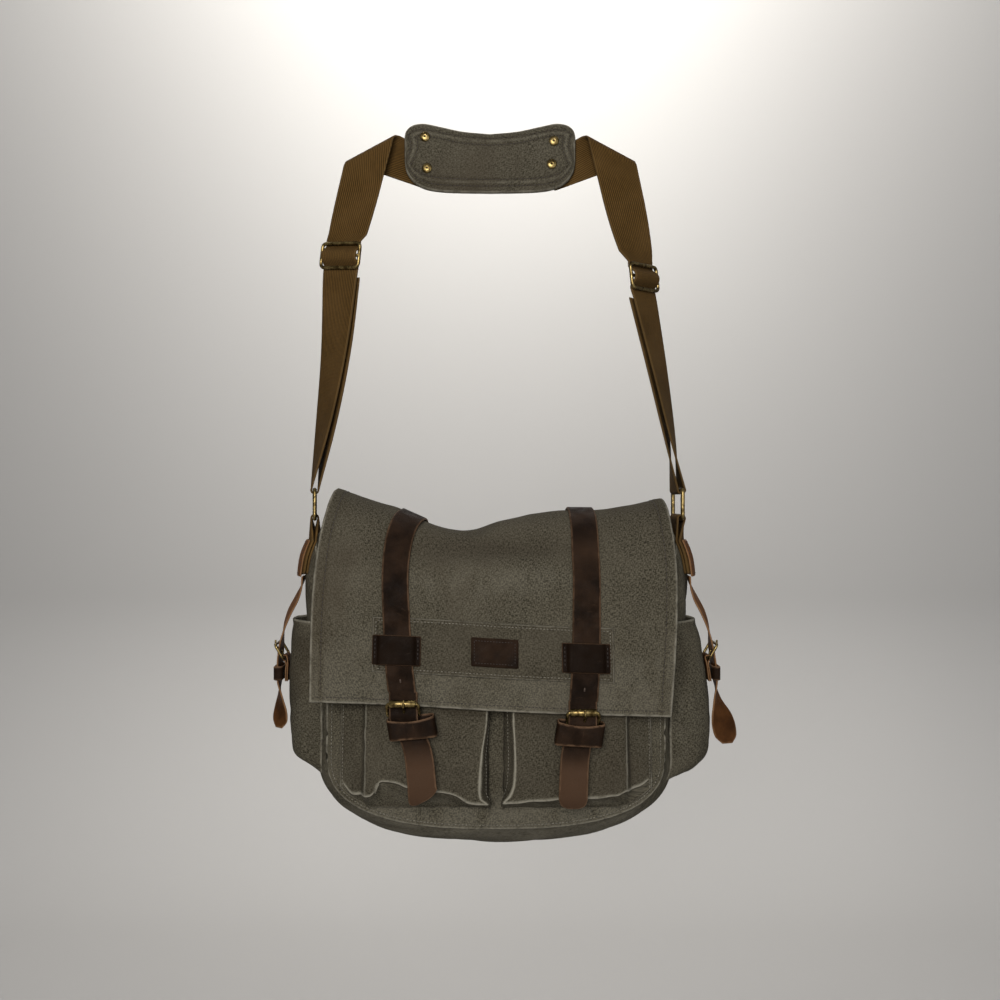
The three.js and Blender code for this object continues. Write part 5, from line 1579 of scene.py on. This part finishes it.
def make_pad():
    grid = pad_grid()
    edge = border_distance(grid)
    # Painted highlight on the raised ridge between the rows of stitches, and painted shade in the stitched
    # grooves.
    ridge = 0.14 * peak(edge, PAD_RIDGE, 1.6)
    groove_shade = sum(0.3 * peak(edge, row, 1.3) for row in PAD_ROWS)
    looks = {"rim_round": 0.25, "shade": ridge - groove_shade + mottle(grid, "shoulder_pad")}
    pad = wall("bag_shoulder_pad", grid, PAD["thick"] - 2 * PAD_EASE, 0, FINISHES["canvas"], **looks)
    inflate(pad, PAD_PRESSURE, PAD_SWELL)
    mesh = pad.data
    border = np.zeros(len(mesh.vertices))
    mesh.attributes["border"].data.foreach_get("value", border)
    groove = sum(peak(border, row, 1.5) for row in PAD_ROWS)
    points = read_points(mesh) / MM - read_points(mesh, "normal") * (0.7 * groove)[:, None]
    for x, z in RIVETS:
        away = np.hypot(points[:, 0] - x, points[:, 2] - z)
        pressed = np.maximum(points[:, 1], PAD["front"] - 0.2)
        points[:, 1] = mix(points[:, 1], pressed, step(10, 5.2, away))
    move_points(mesh, points * MM)
    place(pad, "canvas", "shoulder_pad")
    front = points[: grid.shape[0] * grid.shape[1]].reshape(grid.shape)
    lines = [line for row in PAD_ROWS for line in inset_line(front, ALL_ROUND, row, THREAD_LIFT)]
    stitches("pad_stitches", lines, DARK_THREAD, "canvas")


make_pad()


# Stage, light and camera

EYE = (3.6, -850.0, -351.5)
HALF_VIEW = 475.0  # half the height that the camera sees in the strap's plane
STAGE = {"floor": -1200.0, "wall": 1500.0, "reach": 3500.0, "radius": 600.0}
PAINT = (0.345, 0.336, 0.327, 1)
SKY = (0.95, 0.97, 1.0, 1)
MIDDLE = (0.0, 0.0, -420.0)
# Name, place, aim, size in metres, watts, colour and spread in degrees
LIGHTS = (
    ("key", (-260, -1650, 60), MIDDLE, 0.9, 36, (1.0, 0.98, 0.95), 180),
    ("fill", (1300, -1300, -300), MIDDLE, 1.6, 9, (0.96, 0.98, 1.0), 180),
    ("wall_wash", (0, 800, 1750), (0, 1500, 1250), 2.0, 76, (1.0, 0.98, 0.94), 180),
    ("wall_middle", (0, 600, 1900), (0, 1500, 150), 1.0, 5, (1.0, 0.99, 0.95), 60),
)


def make_stage():
    """A pale floor that curves up into a pale wall."""
    floor, back, reach, radius = STAGE.values()
    turn = np.linspace(np.pi / 2, 0, 24)
    y = np.concatenate([[back], back - radius + radius * np.sin(turn), [-reach]])
    z = np.concatenate([[reach], floor + radius - radius * np.cos(turn), [floor]])
    grid = point(np.array([-reach, reach]), y[:, None], z[:, None])
    index = np.arange(len(y) * 2).reshape(-1, 2)
    faces = np.stack([index[:-1, 0], index[1:, 0], index[1:, 1], index[:-1, 1]], -1)
    paint = Finish("pale_paint", roughness=0.9)
    paint.shader.inputs["Base Color"].default_value = PAINT
    backdrop = add_mesh("backdrop", grid.reshape(-1, 3), faces.tolist(), paint.material)


def add_light(name, place_mm, aim_mm, size, power, colour, spread):
    data = bpy.data.lights.new(name, "AREA")
    data.shape = "DISK"
    data.size = size
    data.energy = power
    data.color = colour
    data.spread = math.radians(spread)
    light = add_object(name, data)
    light.location = np.array(place_mm) * MM
    light.rotation_euler = (Vector(aim_mm) - Vector(place_mm)).to_track_quat("-Z", "Y").to_euler()


def make_camera():
    data = bpy.data.cameras.new("camera")
    data.sensor_fit = "HORIZONTAL"
    data.angle = 2 * math.atan(HALF_VIEW / -EYE[1])
    data.clip_start = 0.05
    data.clip_end = 20
    camera = add_object("camera", data)
    camera.location = np.array(EYE) * MM
    camera.rotation_euler = (math.pi / 2, 0, 0)
    bpy.context.scene.camera = camera


def set_world():
    world = bpy.data.worlds.new("studio")
    world.use_nodes = True
    background = world.node_tree.nodes["Background"]
    background.inputs["Color"].default_value = SKY
    background.inputs["Strength"].default_value = 0.3
    bpy.context.scene.world = world
    bpy.context.scene.view_settings.view_transform = "Standard"


make_stage()
set_world()
for light in LIGHTS:
    add_light(*light)
make_camera()
